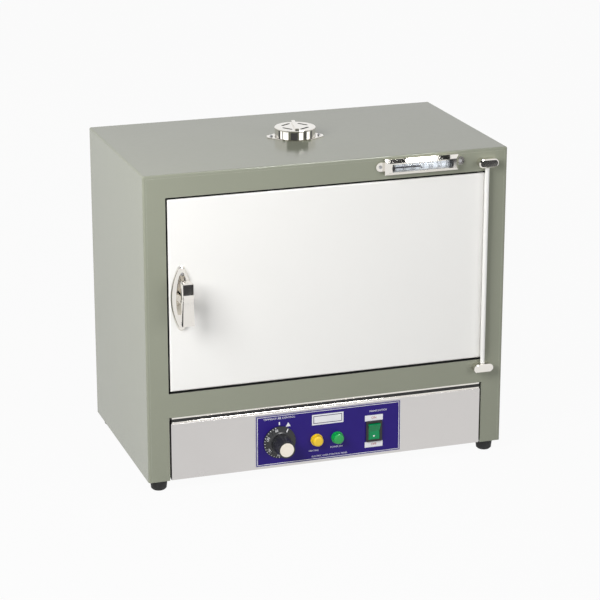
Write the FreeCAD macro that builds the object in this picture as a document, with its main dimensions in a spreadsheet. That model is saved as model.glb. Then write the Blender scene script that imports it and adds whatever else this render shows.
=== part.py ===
import FreeCAD, Part
import math
import os
import re
import Sketcher

# A bench-top dry heat sterilizer: a painted sheet-metal cabinet with an insulated steel chamber,
# a white inset door on a full-height hinge tube, a bay of controls under it and a rotary vent on top.
# Lengths are millimetres, +Z is up, -Y is the door side, +X is the hinge side.
# The origin is the centre of the base of the whole object's box, on the surface it stands on.

SIZES = {
    # cabinet
    "cab_width": 505, "cab_height": 420, "wool_rear": 36, "skin": 1.2, "bend_radius": 2.5,
    "wrap_lip": 4.5, "rear_lip": 14, "front_reach": 36, "rear_reach": 13, "overrun": 2, "end_clear": 0.3,
    # feet
    "foot_height": 15, "foot_top_dia": 24, "foot_tip_dia": 21, "foot_bevel": 2,
    "foot_inset_across": 17.5, "foot_inset_deep": 15, "foot_recess_dia": 11, "foot_recess_depth": 9,
    # front frame
    "stile_width": 29.5, "top_rail": 30.7, "door_sill": 122, "bay_height": 88.8,
    "jamb_depth": 38, "rail_lip": 6,
    # chamber
    "cham_side": 57.5, "cham_drop": 26.3, "cham_depth": 204, "cham_rise": 25, "cham_wall": 1,
    "deck_lift": 6, "deck_start": 14, "pan_flange": 16, "rear_air": 8, "roof_air": 5.5,
    # shelves and their side racks
    "rack_rear": 16, "rack_head": 32, "rack_inset": 18, "rack_bar": 14, "rack_thick": 1.5,
    "ledge_reach": 9, "ledge_thick": 1.5, "ledge_first": 30, "ledge_last": 42, "ledge_count": 4,
    "rack_foot": 4, "shelf_rod": 4, "shelf_wire": 2.4, "shelf_gap": 2, "shelf_wires": 17,
    "shelf_corner": 12, "weld_sink": 0.4, "shelf_low_ledge": 0, "shelf_high_ledge": 2,
    # heater and its cover
    "heater_dia": 6.5, "heater_lift": 9, "heater_side": 45, "heater_inset": 14, "heater_pin": 34,
    "heater_legs": 6, "cover_lift": 20, "cover_inset": 10, "cover_sheet": 1, "cover_slots": 13,
    "cover_slot_width": 6, "cover_slot_length": 120, "cover_edge": 39,
    # door
    "door_gap": 2.8, "door_depth": 34, "door_sheet": 1, "door_round": 2.5, "plug_gap": 4,
    "plug_depth": 6, "gasket_thick": 3.7, "gasket_width": 12, "gasket_gap": 1, "latch_bay": 66,
    # hinge
    "hinge_inset": 1.5, "hinge_out": 5, "tube_dia": 6, "tube_bore": 3.5, "leaf_thick": 1.2,
    "leaf_depth": 22, "pin_clear": 0.05, "pin_reach": 12, "bracket_width": 28, "bracket_height": 12,
    "bracket_depth": 12, "bracket_gap_top": 6.5, "bracket_gap_low": 4, "bracket_screw_step": 8,
    "bracket_wall": 3,
    # handle and latch
    "handle_inset": 49, "handle_rise": 253, "plate_width": 29, "plate_height": 89, "plate_tip": 6,
    "plate_dome": 5.5, "plate_screw_step": 34, "neck_dia": 13, "lever_width": 15.6, "head_width": 13.6,
    "head_top": 30, "head_low": 14, "head_depth": 13, "ridge_low": 6, "ridge_depth": 11,
    "paddle_drop": 28.5, "paddle_thick": 6, "paddle_set": 1.5, "lever_round": 1.6,
    "spindle_dia": 8, "spindle_length": 26, "cam_thick": 4, "cam_width": 12, "cam_reach": 25,
    "cam_set": 12, "cam_clear": 1.5, "keeper_thick": 1.5, "keeper_height": 48, "keeper_depth": 24,
    # vent
    "vent_turn": -12, "vent_bore": 27, "duct_wall": 1.2, "flange_thick": 1.5, "flange_reach": 38.5,
    "flange_half": 23, "flange_tip": 5, "vent_screw_step": 32.5, "cup_dia": 50, "cup_height": 9.8,
    "cup_wall": 1.5, "cap_dia": 56, "cap_wall": 2, "cap_height": 12.8, "cap_top": 1.5,
    "cap_round": 1, "bar_width": 5, "bar_height": 3.2, "bar_length": 50, "vent_slot_length": 13,
    "vent_slot_width": 3.8, "vent_slot_radius": 16.5, "vent_slots": 4, "slot_angle": 45,
    "pivot_dia": 4,
    # thermometer
    "thermo_inset": 126, "thermo_drop": 13.2, "thermo_length": 104, "thermo_height": 21,
    "thermo_depth": 12, "thermo_bevel": 4.5, "window_length": 86, "window_height": 10.6,
    "window_depth": 9, "window_drop": 0.8, "ear_reach": 10.5, "ear_height": 12, "ear_thick": 2.5,
    "glass_dia": 9, "scale_thick": 0.6, "stem_dia": 6, "stem_offset": 36.5, "stem_run": 82,
    "stem_bend": 16, "stem_tip": 34, "channel_clear": 1.5,
    # control panel
    "panel_gap": 2.5, "panel_height": 79.5, "panel_sheet": 1, "ledge_depth": 9, "panel_lip": 15,
    "panel_foot": 12, "label_width": 207, "label_height": 72.4, "label_rise": 40.2,
    "label_thick": 0.8,
    # thermostat
    "knob_across": -70.4, "knob_rise": 37, "skirt_dia": 45, "skirt_edge": 1.6, "skirt_thick": 4,
    "grip_base_dia": 27, "grip_tip_dia": 23.5, "knob_reach": 33, "disc_dia": 19.5, "disc_thick": 1.2,
    "flute_dia": 4, "flute_bite": 0.9, "flutes": 14, "shaft_dia": 6, "shaft_grip": 16,
    "shaft_back": 12, "stat_width": 46, "stat_height": 44, "stat_depth": 30, "bulb_dia": 6,
    "bulb_length": 90, "bulb_inset": 75, "bulb_lift": 26, "capillary_dia": 2,
    "capillary_bend": 12, "capillary_drop": 14,
    # lamps
    "amber_across": -17.5, "green_across": 12, "lamp_rise": 33.5, "lens_dia": 17, "lens_collar": 2,
    "lens_reach": 10, "lamp_body_dia": 11, "lamp_body_length": 28,
    # switch
    "switch_across": 65, "switch_rise": 36.2, "bezel_width": 23, "bezel_height": 29.6,
    "bezel_reach": 2, "bezel_round": 1.5, "switch_width": 20, "switch_height": 27, "switch_depth": 24,
    "rocker_width": 16.4, "rocker_length": 22.6, "rocker_crown": 4.2, "rocker_valley": 1.8,
    "rocker_keel": 6, "rocker_clear": 0.7, "rocker_tilt": 10, "rocker_well": 11, "pivot_set": 1,
    "trunnion_dia": 3, "trunnion_reach": 1.2,
    # rear and inside
    "plate_margin": 5, "louvre_length": 60, "louvre_width": 4, "louvre_pitch": 10, "louvre_rows": 5,
    "louvre_rise": 28, "louvre_side": 142.5, "gland_inset": 62.5, "gland_rise": 45,
    "gland_bore": 8.4, "gland_hex": 18, "gland_flange_dia": 21,
    "gland_thread_dia": 15, "gland_inside": 9, "block_width": 58, "block_height": 18,
    "block_depth": 22, "block_inset": 102.5, "block_set": 60, "block_ways": 4, "block_way_dia": 5,
    # screws
    "screw_head_dia": 7, "screw_head": 2.4, "screw_dia": 3.6, "screw_length": 8, "screw_clear": 0.2,
    "small_head_dia": 4.6, "small_head": 1.5, "small_screw_dia": 2.4, "small_screw_length": 6,
}

# Places that follow from the sizes above
PLACES = {
    "half": "cab_width / 2",
    "cab_depth": "jamb_depth + cham_depth + wool_rear + rear_air",
    "face": "(front_reach - cab_depth - rear_reach) / 2",
    "back": "face + cab_depth",
    "base": "foot_height",
    "top": "foot_height + cab_height",
    "open_half": "half - stile_width",
    "sill": "base + door_sill",
    "lintel": "top - top_rail",
    "bay_top": "base + bay_height",
    "stop": "face + jamb_depth",
    "cham_half": "half - cham_side",
    "cham_low": "sill + cham_rise",
    "cham_top": "lintel - cham_drop",
    "cham_back": "stop + cham_depth",
    "deck": "bay_top + deck_lift",
    "door_half": "open_half - door_gap",
    "door_low": "sill + door_gap",
    "door_high": "lintel - door_gap",
    "hinge_x": "open_half - hinge_inset",
    "hinge_y": "face - hinge_out",
    "tube_low": "sill - bracket_gap_low + end_clear",
    "tube_high": "lintel + bracket_gap_top - end_clear",
    "handle_x": "handle_inset - half",
    "handle_z": "base + handle_rise",
    "cam_y": "face + cam_set",
    "cam_gap": "handle_inset - stile_width",
    "cam_sweep": "sqrt(cam_reach * cam_reach - cam_gap * cam_gap) + cam_clear",
    "panel_front": "face - label_thick",
    "knob_z": "base + knob_rise",
    "lamp_z": "base + lamp_rise",
    "switch_z": "base + switch_rise",
    "thermo_z": "top - thermo_drop",
    "thermo_across": "half - thermo_inset",
    "stem_across": "thermo_across - stem_offset",
    "stem_y": "face + stem_run",
    "rack_y": "stop + rack_inset",
    "rack_low": "cham_low + rack_foot",
    "rack_depth": "cham_depth - rack_inset - rack_rear",
    "rack_height": "cham_top - rack_low - rack_head",
    "ledge_pitch": "(rack_height - ledge_first - ledge_last) / (ledge_count - 1)",
    "vent_y": "face + cab_depth / 2",
    "cap_low": "top + flange_thick + end_clear",
    "heater_z": "cham_low + heater_lift",
    "heater_bend": "(cham_half - heater_side) / (heater_legs - 1)",
    "cover_slot_pitch": "2 * (cham_half - cover_edge) / (cover_slots - 1)",
    "gland_z": "base + gland_rise",
    "gland_across": "gland_inset - half",
    "louvre_across": "half - louvre_side",
    "block_across": "block_inset - half",
    "bulb_across": "cham_half - bulb_inset",
    "bulb_y": "cham_back - end_clear - bulb_dia / 2",
    "bulb_z": "cham_low + bulb_lift",
}

doc = FreeCAD.newDocument("dry_heat_sterilizer")
sheet = doc.addObject("Spreadsheet::Sheet", "Sizes")
for row, (name, value) in enumerate(SIZES.items(), start=1):
    sheet.set("A%d" % row, name)
    sheet.set("B%d" % row, str(value))
    sheet.setAlias("B%d" % row, name)
doc.recompute()

pieces = []


def ex(text):
    """Turn a formula in plain size and place names into a spreadsheet expression."""
    def swap(match):
        word = match.group(0)
        if word in PLACES:
            return "(" + ex(PLACES[word]) + ")"
        return "Sizes." + word if word in SIZES else word
    return re.sub(r"[a-z_]+", swap, text)


def number(text):
    """The present value of a formula."""
    return float(sheet.evalExpression(ex(text)))


def new_body(label):
    body = doc.addObject("PartDesign::Body", label)
    body.Label = label
    pieces.append(body)
    return body


def put(item, across="0", deep="0", up="0"):
    """Move a finished piece to its place."""
    for axis, text in zip("xyz", (across, deep, up)):
        item.setExpression(".Placement.Base." + axis, ex(text))
    doc.recompute()


def new_sketch(body, role, level="0"):
    """A sketch on the body's XY, XZ or YZ plane, moved to a level along the third axis."""
    plane = [item for item in body.Origin.OriginFeatures if item.Role == role + "_Plane"][0]
    sketch = body.newObject("Sketcher::SketchObject", body.Label + "_sketch")
    sketch.AttachmentSupport = [(plane, "")]
    sketch.MapMode = "FlatFace"
    text = "-(%s)" % level if role == "XZ" else level
    sketch.setExpression(".AttachmentOffset.Base.z", ex(text))
    return sketch


def pin_point(sketch, geometry, end, across, up):
    """Hold one point of a sketch at a place given by two formulas."""
    for kind, text in (("DistanceX", across), ("DistanceY", up)):
        index = sketch.addConstraint(Sketcher.Constraint(kind, -1, 1, geometry, end, number(text)))
        sketch.setExpression("Constraints[%d]" % index, ex(text))


def outline(sketch, points):
    """A closed outline of straight lines."""
    first = sketch.GeometryCount
    spots = [FreeCAD.Vector(number(across), number(up), 0) for across, up in points]
    count = len(spots)
    for index, spot in enumerate(spots):
        sketch.addGeometry(Part.LineSegment(spot, spots[(index + 1) % count]), False)
    for index in range(count):
        after = first + (index + 1) % count
        sketch.addConstraint(Sketcher.Constraint("Coincident", first + index, 2, after, 1))
    for index, (across, up) in enumerate(points):
        pin_point(sketch, first + index, 1, across, up)


def rectangle(sketch, left, low, right, high):
    outline(sketch, [(left, low), (right, low), (right, high), (left, high)])


def circle(sketch, across, up, diameter):
    centre = FreeCAD.Vector(number(across), number(up), 0)
    index = sketch.addGeometry(Part.Circle(centre, FreeCAD.Vector(0, 0, 1), number(diameter) / 2), False)
    pin_point(sketch, index, 3, across, up)
    held = sketch.addConstraint(Sketcher.Constraint("Diameter", index, number(diameter)))
    sketch.setExpression("Constraints[%d]" % held, ex(diameter))


def capsule(sketch, start, end, width):
    """A slot with round ends, whose centres are the two given points."""
    radius = number(width) / 2
    spots = [FreeCAD.Vector(number(across), number(up), 0) for across, up in (start, end)]
    along = spots[1] - spots[0]
    turn = math.atan2(along.y, along.x)
    rise = FreeCAD.Vector(-math.sin(turn) * radius, math.cos(turn) * radius, 0)
    axis = FreeCAD.Vector(0, 0, 1)
    quarter = math.pi / 2
    rings = [Part.Circle(spot, axis, radius) for spot in spots]
    one = sketch.addGeometry(Part.ArcOfCircle(rings[0], turn + quarter, turn + 3 * quarter), False)
    two = sketch.addGeometry(Part.ArcOfCircle(rings[1], turn - quarter, turn + quarter), False)
    low = sketch.addGeometry(Part.LineSegment(spots[0] - rise, spots[1] - rise), False)
    high = sketch.addGeometry(Part.LineSegment(spots[1] + rise, spots[0] + rise), False)
    for line, tail, arc, tip in ((low, 1, one, 2), (low, 2, two, 1), (high, 1, two, 2), (high, 2, one, 1)):
        sketch.addConstraint(Sketcher.Constraint("Tangent", line, tail, arc, tip))
    pin_point(sketch, one, 3, *start)
    pin_point(sketch, two, 3, *end)
    held = sketch.addConstraint(Sketcher.Constraint("Radius", one, radius))
    sketch.setExpression("Constraints[%d]" % held, ex("(%s) / 2" % width))


def hexagon(sketch, flats):
    """A hexagon about the sketch's centre, given by its width across flats."""
    outline(sketch, [("(%s) / sqrt(3) * cos(%d)" % (flats, turn), "(%s) / sqrt(3) * sin(%d)" % (flats, turn))
                     for turn in range(0, 360, 60)])


def oval(sketch, width, height, tip):
    """An upright oval of two side arcs and two end arcs whose radius is the tip."""
    half_wide, half_tall, radius = number(width) / 2, number(height) / 2, number(tip)
    bulge = "(((%s) / 2) ^ 2 + ((%s) / 2 - (%s)) ^ 2 - (%s) ^ 2) / ((%s) - 2 * (%s))" % (
        width, height, tip, tip, width, tip)
    side = number(bulge)
    axis = FreeCAD.Vector(0, 0, 1)
    turn = math.atan2(half_tall - radius, side - half_wide)
    arcs = []
    for centre, size, middle, spread in (
            ((half_wide - side, 0), side, 0, turn), ((0, half_tall - radius), radius, math.pi / 2,
                                                     math.pi / 2 - turn),
            ((side - half_wide, 0), side, math.pi, turn), ((0, radius - half_tall), radius, -math.pi / 2,
                                                           math.pi / 2 - turn)):
        ring = Part.Circle(FreeCAD.Vector(centre[0], centre[1], 0), axis, size)
        arcs.append(sketch.addGeometry(Part.ArcOfCircle(ring, middle - spread, middle + spread), False))
    for arc, after in zip(arcs, arcs[1:] + arcs[:1]):
        sketch.addConstraint(Sketcher.Constraint("Tangent", arc, 2, after, 1))
    pin_point(sketch, arcs[1], 3, "0", "(%s) / 2 - (%s)" % (height, tip))
    pin_point(sketch, arcs[3], 3, "0", "(%s) - (%s) / 2" % (tip, height))
    for arc, text in zip(arcs, (bulge, tip, bulge, tip)):
        held = sketch.addConstraint(Sketcher.Constraint("Radius", arc, number(text)))
        sketch.setExpression("Constraints[%d]" % held, ex(text))


def pad(body, sketch, length):
    """Raise a sketch towards +Z, +Y or +X."""
    feature = body.newObject("PartDesign::Pad", body.Label + "_pad")
    feature.Profile = sketch
    feature.Reversed = "XZ" in sketch.AttachmentSupport[0][0].Role
    feature.setExpression("Length", ex(length))
    doc.recompute()
    return feature


def pocket(body, sketch, length):
    """Cut a sketch out towards +Z, +Y or +X."""
    feature = body.newObject("PartDesign::Pocket", body.Label + "_pocket")
    feature.Profile = sketch
    feature.Reversed = "XZ" not in sketch.AttachmentSupport[0][0].Role
    feature.setExpression("Length", ex(length))
    doc.recompute()
    return feature


def block(body, role, level, length, left, low, right, high):
    sketch = new_sketch(body, role, level)
    rectangle(sketch, left, low, right, high)
    return pad(body, sketch, length)


def cut_block(body, role, level, length, left, low, right, high):
    sketch = new_sketch(body, role, level)
    rectangle(sketch, left, low, right, high)
    return pocket(body, sketch, length)


def cut_holes(body, role, level, length, holes):
    """Cut round holes, each given by its centre and diameter."""
    sketch = new_sketch(body, role, level)
    for across, up, diameter in holes:
        circle(sketch, across, up, diameter)
    return pocket(body, sketch, length)


def repeat(body, feature, sketch, axis, length, count):
    """Repeat a feature along a sketch axis; length is from the first copy to the last."""
    pattern = body.newObject("PartDesign::LinearPattern", body.Label + "_pattern")
    pattern.Originals = [feature]
    pattern.Direction = (sketch, [axis])
    pattern.setExpression("Length", ex(length))
    pattern.setExpression("Occurrences", ex(count))
    body.Tip = pattern
    doc.recompute()
    return pattern


def repeat_round(body, feature, axis, count):
    """Repeat a feature round one of the body's own axes."""
    line = [item for item in body.Origin.OriginFeatures if item.Role == axis + "_Axis"][0]
    pattern = body.newObject("PartDesign::PolarPattern", body.Label + "_pattern")
    pattern.Originals = [feature]
    pattern.Axis = (line, [""])
    pattern.Angle = 360
    pattern.setExpression("Occurrences", ex(count))
    body.Tip = pattern
    doc.recompute()
    return pattern


def turned(label, role, points):
    """A turned piece: the outline's first number is the radius, and the axis is Z on XZ, Y on XY."""
    body = new_body(label)
    turn_more(body, role, points)
    return body


def turn_more(body, role, points):
    sketch = new_sketch(body, role)
    outline(sketch, points)
    feature = body.newObject("PartDesign::Revolution", body.Label + "_turn")
    feature.Profile = sketch
    feature.ReferenceAxis = (sketch, ["V_Axis"])
    feature.Angle = 360
    doc.recompute()
    return feature


def pipe(body, profile, spine):
    """Sweep a profile sketch along a spine sketch."""
    feature = body.newObject("PartDesign::AdditivePipe", body.Label + "_pipe")
    feature.Profile = profile
    feature.Spine = spine
    doc.recompute()
    return feature


def rounded_rectangle(sketch, left, low, right, high, radius):
    """A closed path of four lines joined by quarter arcs."""
    corners = [(left, low, 1, 1), (right, low, -1, 1), (right, high, -1, -1), (left, high, 1, -1)]
    size = number(radius)
    arcs = []
    for index, (across, up, inward, upward) in enumerate(corners):
        centre = ["(%s) + (%d) * (%s)" % (place, way, radius)
                  for place, way in ((across, inward), (up, upward))]
        spot = FreeCAD.Vector(number(centre[0]), number(centre[1]), 0)
        start = math.pi + index * math.pi / 2
        ring = Part.Circle(spot, FreeCAD.Vector(0, 0, 1), size)
        arc = sketch.addGeometry(Part.ArcOfCircle(ring, start, start + math.pi / 2), False)
        pin_point(sketch, arc, 3, *centre)
        held = sketch.addConstraint(Sketcher.Constraint("Radius", arc, size))
        sketch.setExpression("Constraints[%d]" % held, ex(radius))
        arcs.append(arc)
    for index, arc in enumerate(arcs):
        after = arcs[(index + 1) % 4]
        ends = [sketch.Geometry[arc].EndPoint, sketch.Geometry[after].StartPoint]
        line = sketch.addGeometry(Part.LineSegment(*ends), False)
        sketch.addConstraint(Sketcher.Constraint("Tangent", line, 1, arc, 2))
        sketch.addConstraint(Sketcher.Constraint("Tangent", line, 2, after, 1))


def edge_names(shape, **planes):
    """Edges that lie in every given plane, and have the given radius if there is one."""
    found = []
    for index, edge in enumerate(shape.Edges, start=1):
        box = edge.BoundBox
        spans = {"x": (box.XMin, box.XMax), "y": (box.YMin, box.YMax), "z": (box.ZMin, box.ZMax)}
        fits = True
        for key, text in planes.items():
            want = number(text)
            if key == "radius":
                fits = fits and abs(getattr(edge.Curve, "Radius", 0) - want) < 1e-4
            else:
                fits = fits and max(abs(spans[key][0] - want), abs(spans[key][1] - want)) < 1e-4
        if fits:
            found.append("Edge%d" % index)
    return found


def round_edges(body, radius, *groups):
    """Round the edges that each group of planes picks out."""
    base = body.Tip
    names = [name for group in groups for name in edge_names(base.Shape, **group)]
    feature = body.newObject("PartDesign::Fillet", body.Label + "_round")
    feature.Base = (base, sorted(set(names), key=names.index))
    feature.setExpression("Radius", ex(radius))
    doc.recompute()
    return feature


def bevel_edges(body, size, *groups):
    base = body.Tip
    names = [name for group in groups for name in edge_names(base.Shape, **group)]
    feature = body.newObject("PartDesign::Chamfer", body.Label + "_bevel")
    feature.Base = (base, sorted(set(names), key=names.index))
    feature.setExpression("Size", ex(size))
    doc.recompute()
    return feature


def slab(label, left, front, low, right, rear, high):
    """A plain rectangular slab as a Part primitive, given by its six faces."""
    item = doc.addObject("Part::Box", label)
    item.Label = label
    item.setExpression("Length", ex("(%s) - (%s)" % (right, left)))
    item.setExpression("Width", ex("(%s) - (%s)" % (rear, front)))
    item.setExpression("Height", ex("(%s) - (%s)" % (high, low)))
    put(item, left, front, low)
    pieces.append(item)
    return item


def screws(label, seats, direction, small=False, length=None):
    """A group of pan-head screws: each seat is where the head's underside lies."""
    kind = "small_" if small else ""
    head = number("%s / 2" % ("small_head_dia" if small else "screw_head_dia"))
    rise = number("small_head" if small else "screw_head")
    shank = number("%sscrew_dia / 2" % kind)
    length = number(length or "%sscrew_length" % kind)
    solids = []
    for seat in seats:
        spot = FreeCAD.Vector(*[number(text) for text in seat])
        cap = Part.makeCylinder(head, rise)
        crown = [edge for edge in cap.Edges if abs(edge.BoundBox.ZMin - rise) < 1e-4]
        cap = cap.makeChamfer(rise * 0.5, crown[:1])
        rod = Part.makeCylinder(shank, length, FreeCAD.Vector(0, 0, -length))
        solid = cap.fuse(rod).removeSplitter()
        turn = FreeCAD.Rotation(FreeCAD.Vector(0, 0, 1), FreeCAD.Vector(*direction))
        solid.Placement = FreeCAD.Placement(spot, turn)
        solids.append(solid)
    item = doc.addObject("Part::Feature", label)
    item.Label = label
    item.Shape = Part.makeCompound(solids)
    pieces.append(item)
    return item


def turn_about_up(body, angle):
    """Turn a finished piece about its own upright axis."""
    body.Placement = FreeCAD.Placement(FreeCAD.Vector(), FreeCAD.Vector(0, 0, 1), 1)
    body.setExpression(".Placement.Rotation.Angle", ex(angle))


def vent_slot(body, level, depth):
    """Four slots round the top, set between the ears and square to the radius."""
    sketch = new_sketch(body, "XY", level)
    spots = []
    for sign in ("-", "+"):
        half_slot = sign + " vent_slot_length / 2"
        spots.append(("vent_slot_radius * cos(slot_angle) %s * sin(slot_angle)" % half_slot,
                      "vent_slot_radius * sin(slot_angle) %s * -1 * cos(slot_angle)" % half_slot))
    capsule(sketch, spots[0], spots[1], "vent_slot_width")
    slot = pocket(body, sketch, depth)
    repeat_round(body, slot, "Z", "vent_slots")


def rods(label, diameter, length, starts, direction):
    """A group of plain round rods."""
    radius = number("(%s) / 2" % diameter)
    solids = []
    for start in starts:
        spot = FreeCAD.Vector(*[number(text) for text in start])
        solids.append(Part.makeCylinder(radius, number(length), spot, FreeCAD.Vector(*direction)))
    item = doc.addObject("Part::Feature", label)
    item.Label = label
    item.Shape = Part.makeCompound(solids)
    pieces.append(item)
    return item


FRONT = (0, -1, 0)
REAR = (0, 1, 0)
UP = (0, 0, 1)
DOWN = (0, 0, -1)

# Where the fasteners sit
foot_spots = {
    "front_left": ("foot_inset_across - half", "face + foot_inset_deep"),
    "front_right": ("half - foot_inset_across", "face + foot_inset_deep"),
    "rear_left": ("foot_inset_across - half", "back - foot_inset_deep"),
    "rear_right": ("half - foot_inset_across", "back - foot_inset_deep"),
}
rear_spots = []
lip_middle = "(plate_margin + rear_lip) / 2"
for side in (lip_middle + " - half", "0", "half - " + lip_middle):
    for height in ("top - " + lip_middle, "(base + top) / 2", "base + plate_margin + rear_lip"):
        if side != "0" or height.startswith("top"):
            rear_spots.append((side, height))
bracket_levels = {"upper": "lintel + bracket_gap_top", "lower": "sill - bracket_gap_low - bracket_height"}
bracket_spots = []
for level in bracket_levels.values():
    for step in ("-bracket_screw_step", "bracket_screw_step"):
        bracket_spots.append(("hinge_x + " + step if step[0] != "-" else "hinge_x " + step,
                              level + " + bracket_height / 2"))
plate_spots = [("handle_x", "handle_z + plate_screw_step"), ("handle_x", "handle_z - plate_screw_step")]
ear_centre = "(thermo_length / 2 + ear_reach - ear_height / 2)"
ear_spots = [("thermo_across - " + ear_centre, "thermo_z"), ("thermo_across + " + ear_centre, "thermo_z")]
vent_spots = []
for sign in ("-", ""):
    vent_spots.append((sign + "vent_screw_step * cos(vent_turn)",
                       "vent_y + " + ("-1 * " if sign else "") + "vent_screw_step * sin(vent_turn)"))
screw_hole = "screw_dia + 2 * screw_clear"
small_hole = "small_screw_dia + 2 * screw_clear"

# Casing wrap: top and sides in one folded sheet, with rounded bends and a lip at the rear
wrap = new_body("casing_wrap")
block(wrap, "XY", "base", "cab_height", "-half", "face", "half", "back")
round_edges(wrap, "bend_radius", {"x": "-half", "y": "face"}, {"x": "half", "y": "face"},
            {"y": "face", "z": "top"}, {"x": "-half", "z": "top"}, {"x": "half", "z": "top"})
core = new_body("casing_core")
pieces.remove(core)
block(core, "XY", "base - overrun", "cab_height - skin + overrun", "skin - half", "face + skin",
      "half - skin", "back - skin")
round_edges(core, "(bend_radius - skin) * 0.9", {"x": "skin - half", "y": "face + skin"},
            {"x": "half - skin", "y": "face + skin"}, {"y": "face + skin", "z": "top - skin"},
            {"x": "skin - half", "z": "top - skin"}, {"x": "half - skin", "z": "top - skin"})
hollow = wrap.newObject("PartDesign::Boolean", "casing_wrap_hollow")
hollow.Type = "Cut"
hollow.setObjects([core])
doc.recompute()
cut_block(wrap, "XZ", "face - overrun", "skin + overrun", "wrap_lip - half", "base - overrun",
          "half - wrap_lip", "top - wrap_lip")
cut_block(wrap, "XZ", "back - skin - overrun", "skin + 2 * overrun", "rear_lip - half", "base - overrun",
          "half - rear_lip", "top - rear_lip")
cut_holes(wrap, "XZ", "back - skin - overrun", "skin + 2 * overrun",
          [(across, up, screw_hole) for across, up in rear_spots])
cut_holes(wrap, "XY", "top - skin - overrun", "skin + 2 * overrun",
          [("0", "vent_y", "vent_bore")] + [(across, deep, small_hole) for across, deep in vent_spots])

# Front frame: the plate round the door, with the jamb folded back behind it
frame = new_body("front_frame")
sketch = new_sketch(frame, "XZ", "face")
rectangle(sketch, "wrap_lip - half", "base", "half - wrap_lip", "top - wrap_lip")
rectangle(sketch, "-open_half", "sill", "open_half", "lintel")
pad(frame, sketch, "skin")
cut_block(frame, "XZ", "face", "skin", "-open_half", "base", "open_half", "bay_top")
sketch = new_sketch(frame, "XZ", "face")
rectangle(sketch, "-open_half - skin", "sill - skin", "open_half + skin", "lintel + skin")
rectangle(sketch, "-open_half", "sill", "open_half", "lintel")
pad(frame, sketch, "jamb_depth")
block(frame, "XZ", "face", "rail_lip", "-open_half", "bay_top", "open_half", "bay_top + skin")
for left, right in (("-open_half - skin", "-open_half"), ("open_half", "open_half + skin")):
    block(frame, "XZ", "face", "panel_foot", left, "base + skin", right, "bay_top + skin")
cut_block(frame, "YZ", "-open_half - skin - overrun", "skin + 2 * overrun", "cam_y - cam_clear",
          "handle_z - cam_sweep", "cam_y + cam_thick + cam_clear", "handle_z + cam_width / 2 + cam_clear")
cut_holes(frame, "XZ", "face", "skin", [(across, up, small_hole) for across, up in bracket_spots + ear_spots]
          + [("stem_across", "thermo_z", "stem_dia + 2 * channel_clear")])

# Rear panel: an outside plate with rows of louvre slots over the control bay
rear = new_body("rear_panel")
block(rear, "XZ", "back", "skin", "plate_margin - half", "base + plate_margin", "half - plate_margin",
      "top - plate_margin")
for across in ("-louvre_across", "0", "louvre_across"):
    sketch = new_sketch(rear, "XZ", "back")
    capsule(sketch, (across + " - louvre_length / 2", "base + louvre_rise"),
            (across + " + louvre_length / 2", "base + louvre_rise"), "louvre_width")
    slot = pocket(rear, sketch, "skin")
    repeat(rear, slot, sketch, "V_Axis", "louvre_pitch * (louvre_rows - 1)", "louvre_rows")
cut_holes(rear, "XZ", "back", "skin", [(across, up, screw_hole) for across, up in rear_spots]
          + [("gland_across", "gland_z", "gland_thread_dia + 2 * screw_clear")])
screws("rear_screws", [(across, "back + skin", up) for across, up in rear_spots], REAR)

# Base pan: the floor of the control bay, with folded-up sides and vent slots
pan = new_body("base_pan")
block(pan, "XY", "base", "skin", "skin - half", "face + bend_radius", "half - skin", "back - skin")
cut_block(pan, "XY", "base", "skin", "-open_half", "face", "open_half", "face + panel_foot")
for left, right in (("skin - half", "2 * skin - half"), ("half - 2 * skin", "half - skin")):
    block(pan, "XY", "base + skin", "pan_flange", left, "face + bend_radius", right, "back - skin")
sketch = new_sketch(pan, "XY", "base")
capsule(sketch, ("-louvre_length", "face + cab_depth / 3"), ("louvre_length", "face + cab_depth / 3"),
        "louvre_width")
slot = pocket(pan, sketch, "skin")
repeat(pan, slot, sketch, "V_Axis", "2 * louvre_pitch * (louvre_rows - 1)", "louvre_rows")
cut_holes(pan, "XY", "base", "skin", [(across, deep, screw_hole) for across, deep in foot_spots.values()])

# Feet: turned rubber cups, each held by a screw up its recess
for corner, (across, deep) in foot_spots.items():
    foot = turned("foot_" + corner, "XZ", [
        ("screw_dia / 2 + screw_clear", "foot_recess_depth"), ("foot_recess_dia / 2", "foot_recess_depth"),
        ("foot_recess_dia / 2", "0"), ("foot_tip_dia / 2 - foot_bevel", "0"),
        ("foot_tip_dia / 2", "foot_bevel"), ("foot_top_dia / 2", "foot_height"),
        ("screw_dia / 2 + screw_clear", "foot_height")])
    put(foot, across, deep, "0")
screws("foot_screws", [(across, deep, "foot_recess_depth") for across, deep in foot_spots.values()], DOWN)

# Deck: the sheet that parts the hot side from the control bay
deck = new_body("deck_plate")
block(deck, "XY", "deck", "skin", "skin - half", "face + deck_start", "half - skin", "back - skin")
capillary_hole = ("bulb_across", "bulb_y", "capillary_dia + 2 * channel_clear")
cut_holes(deck, "XY", "deck", "skin", [capillary_hole])

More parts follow.
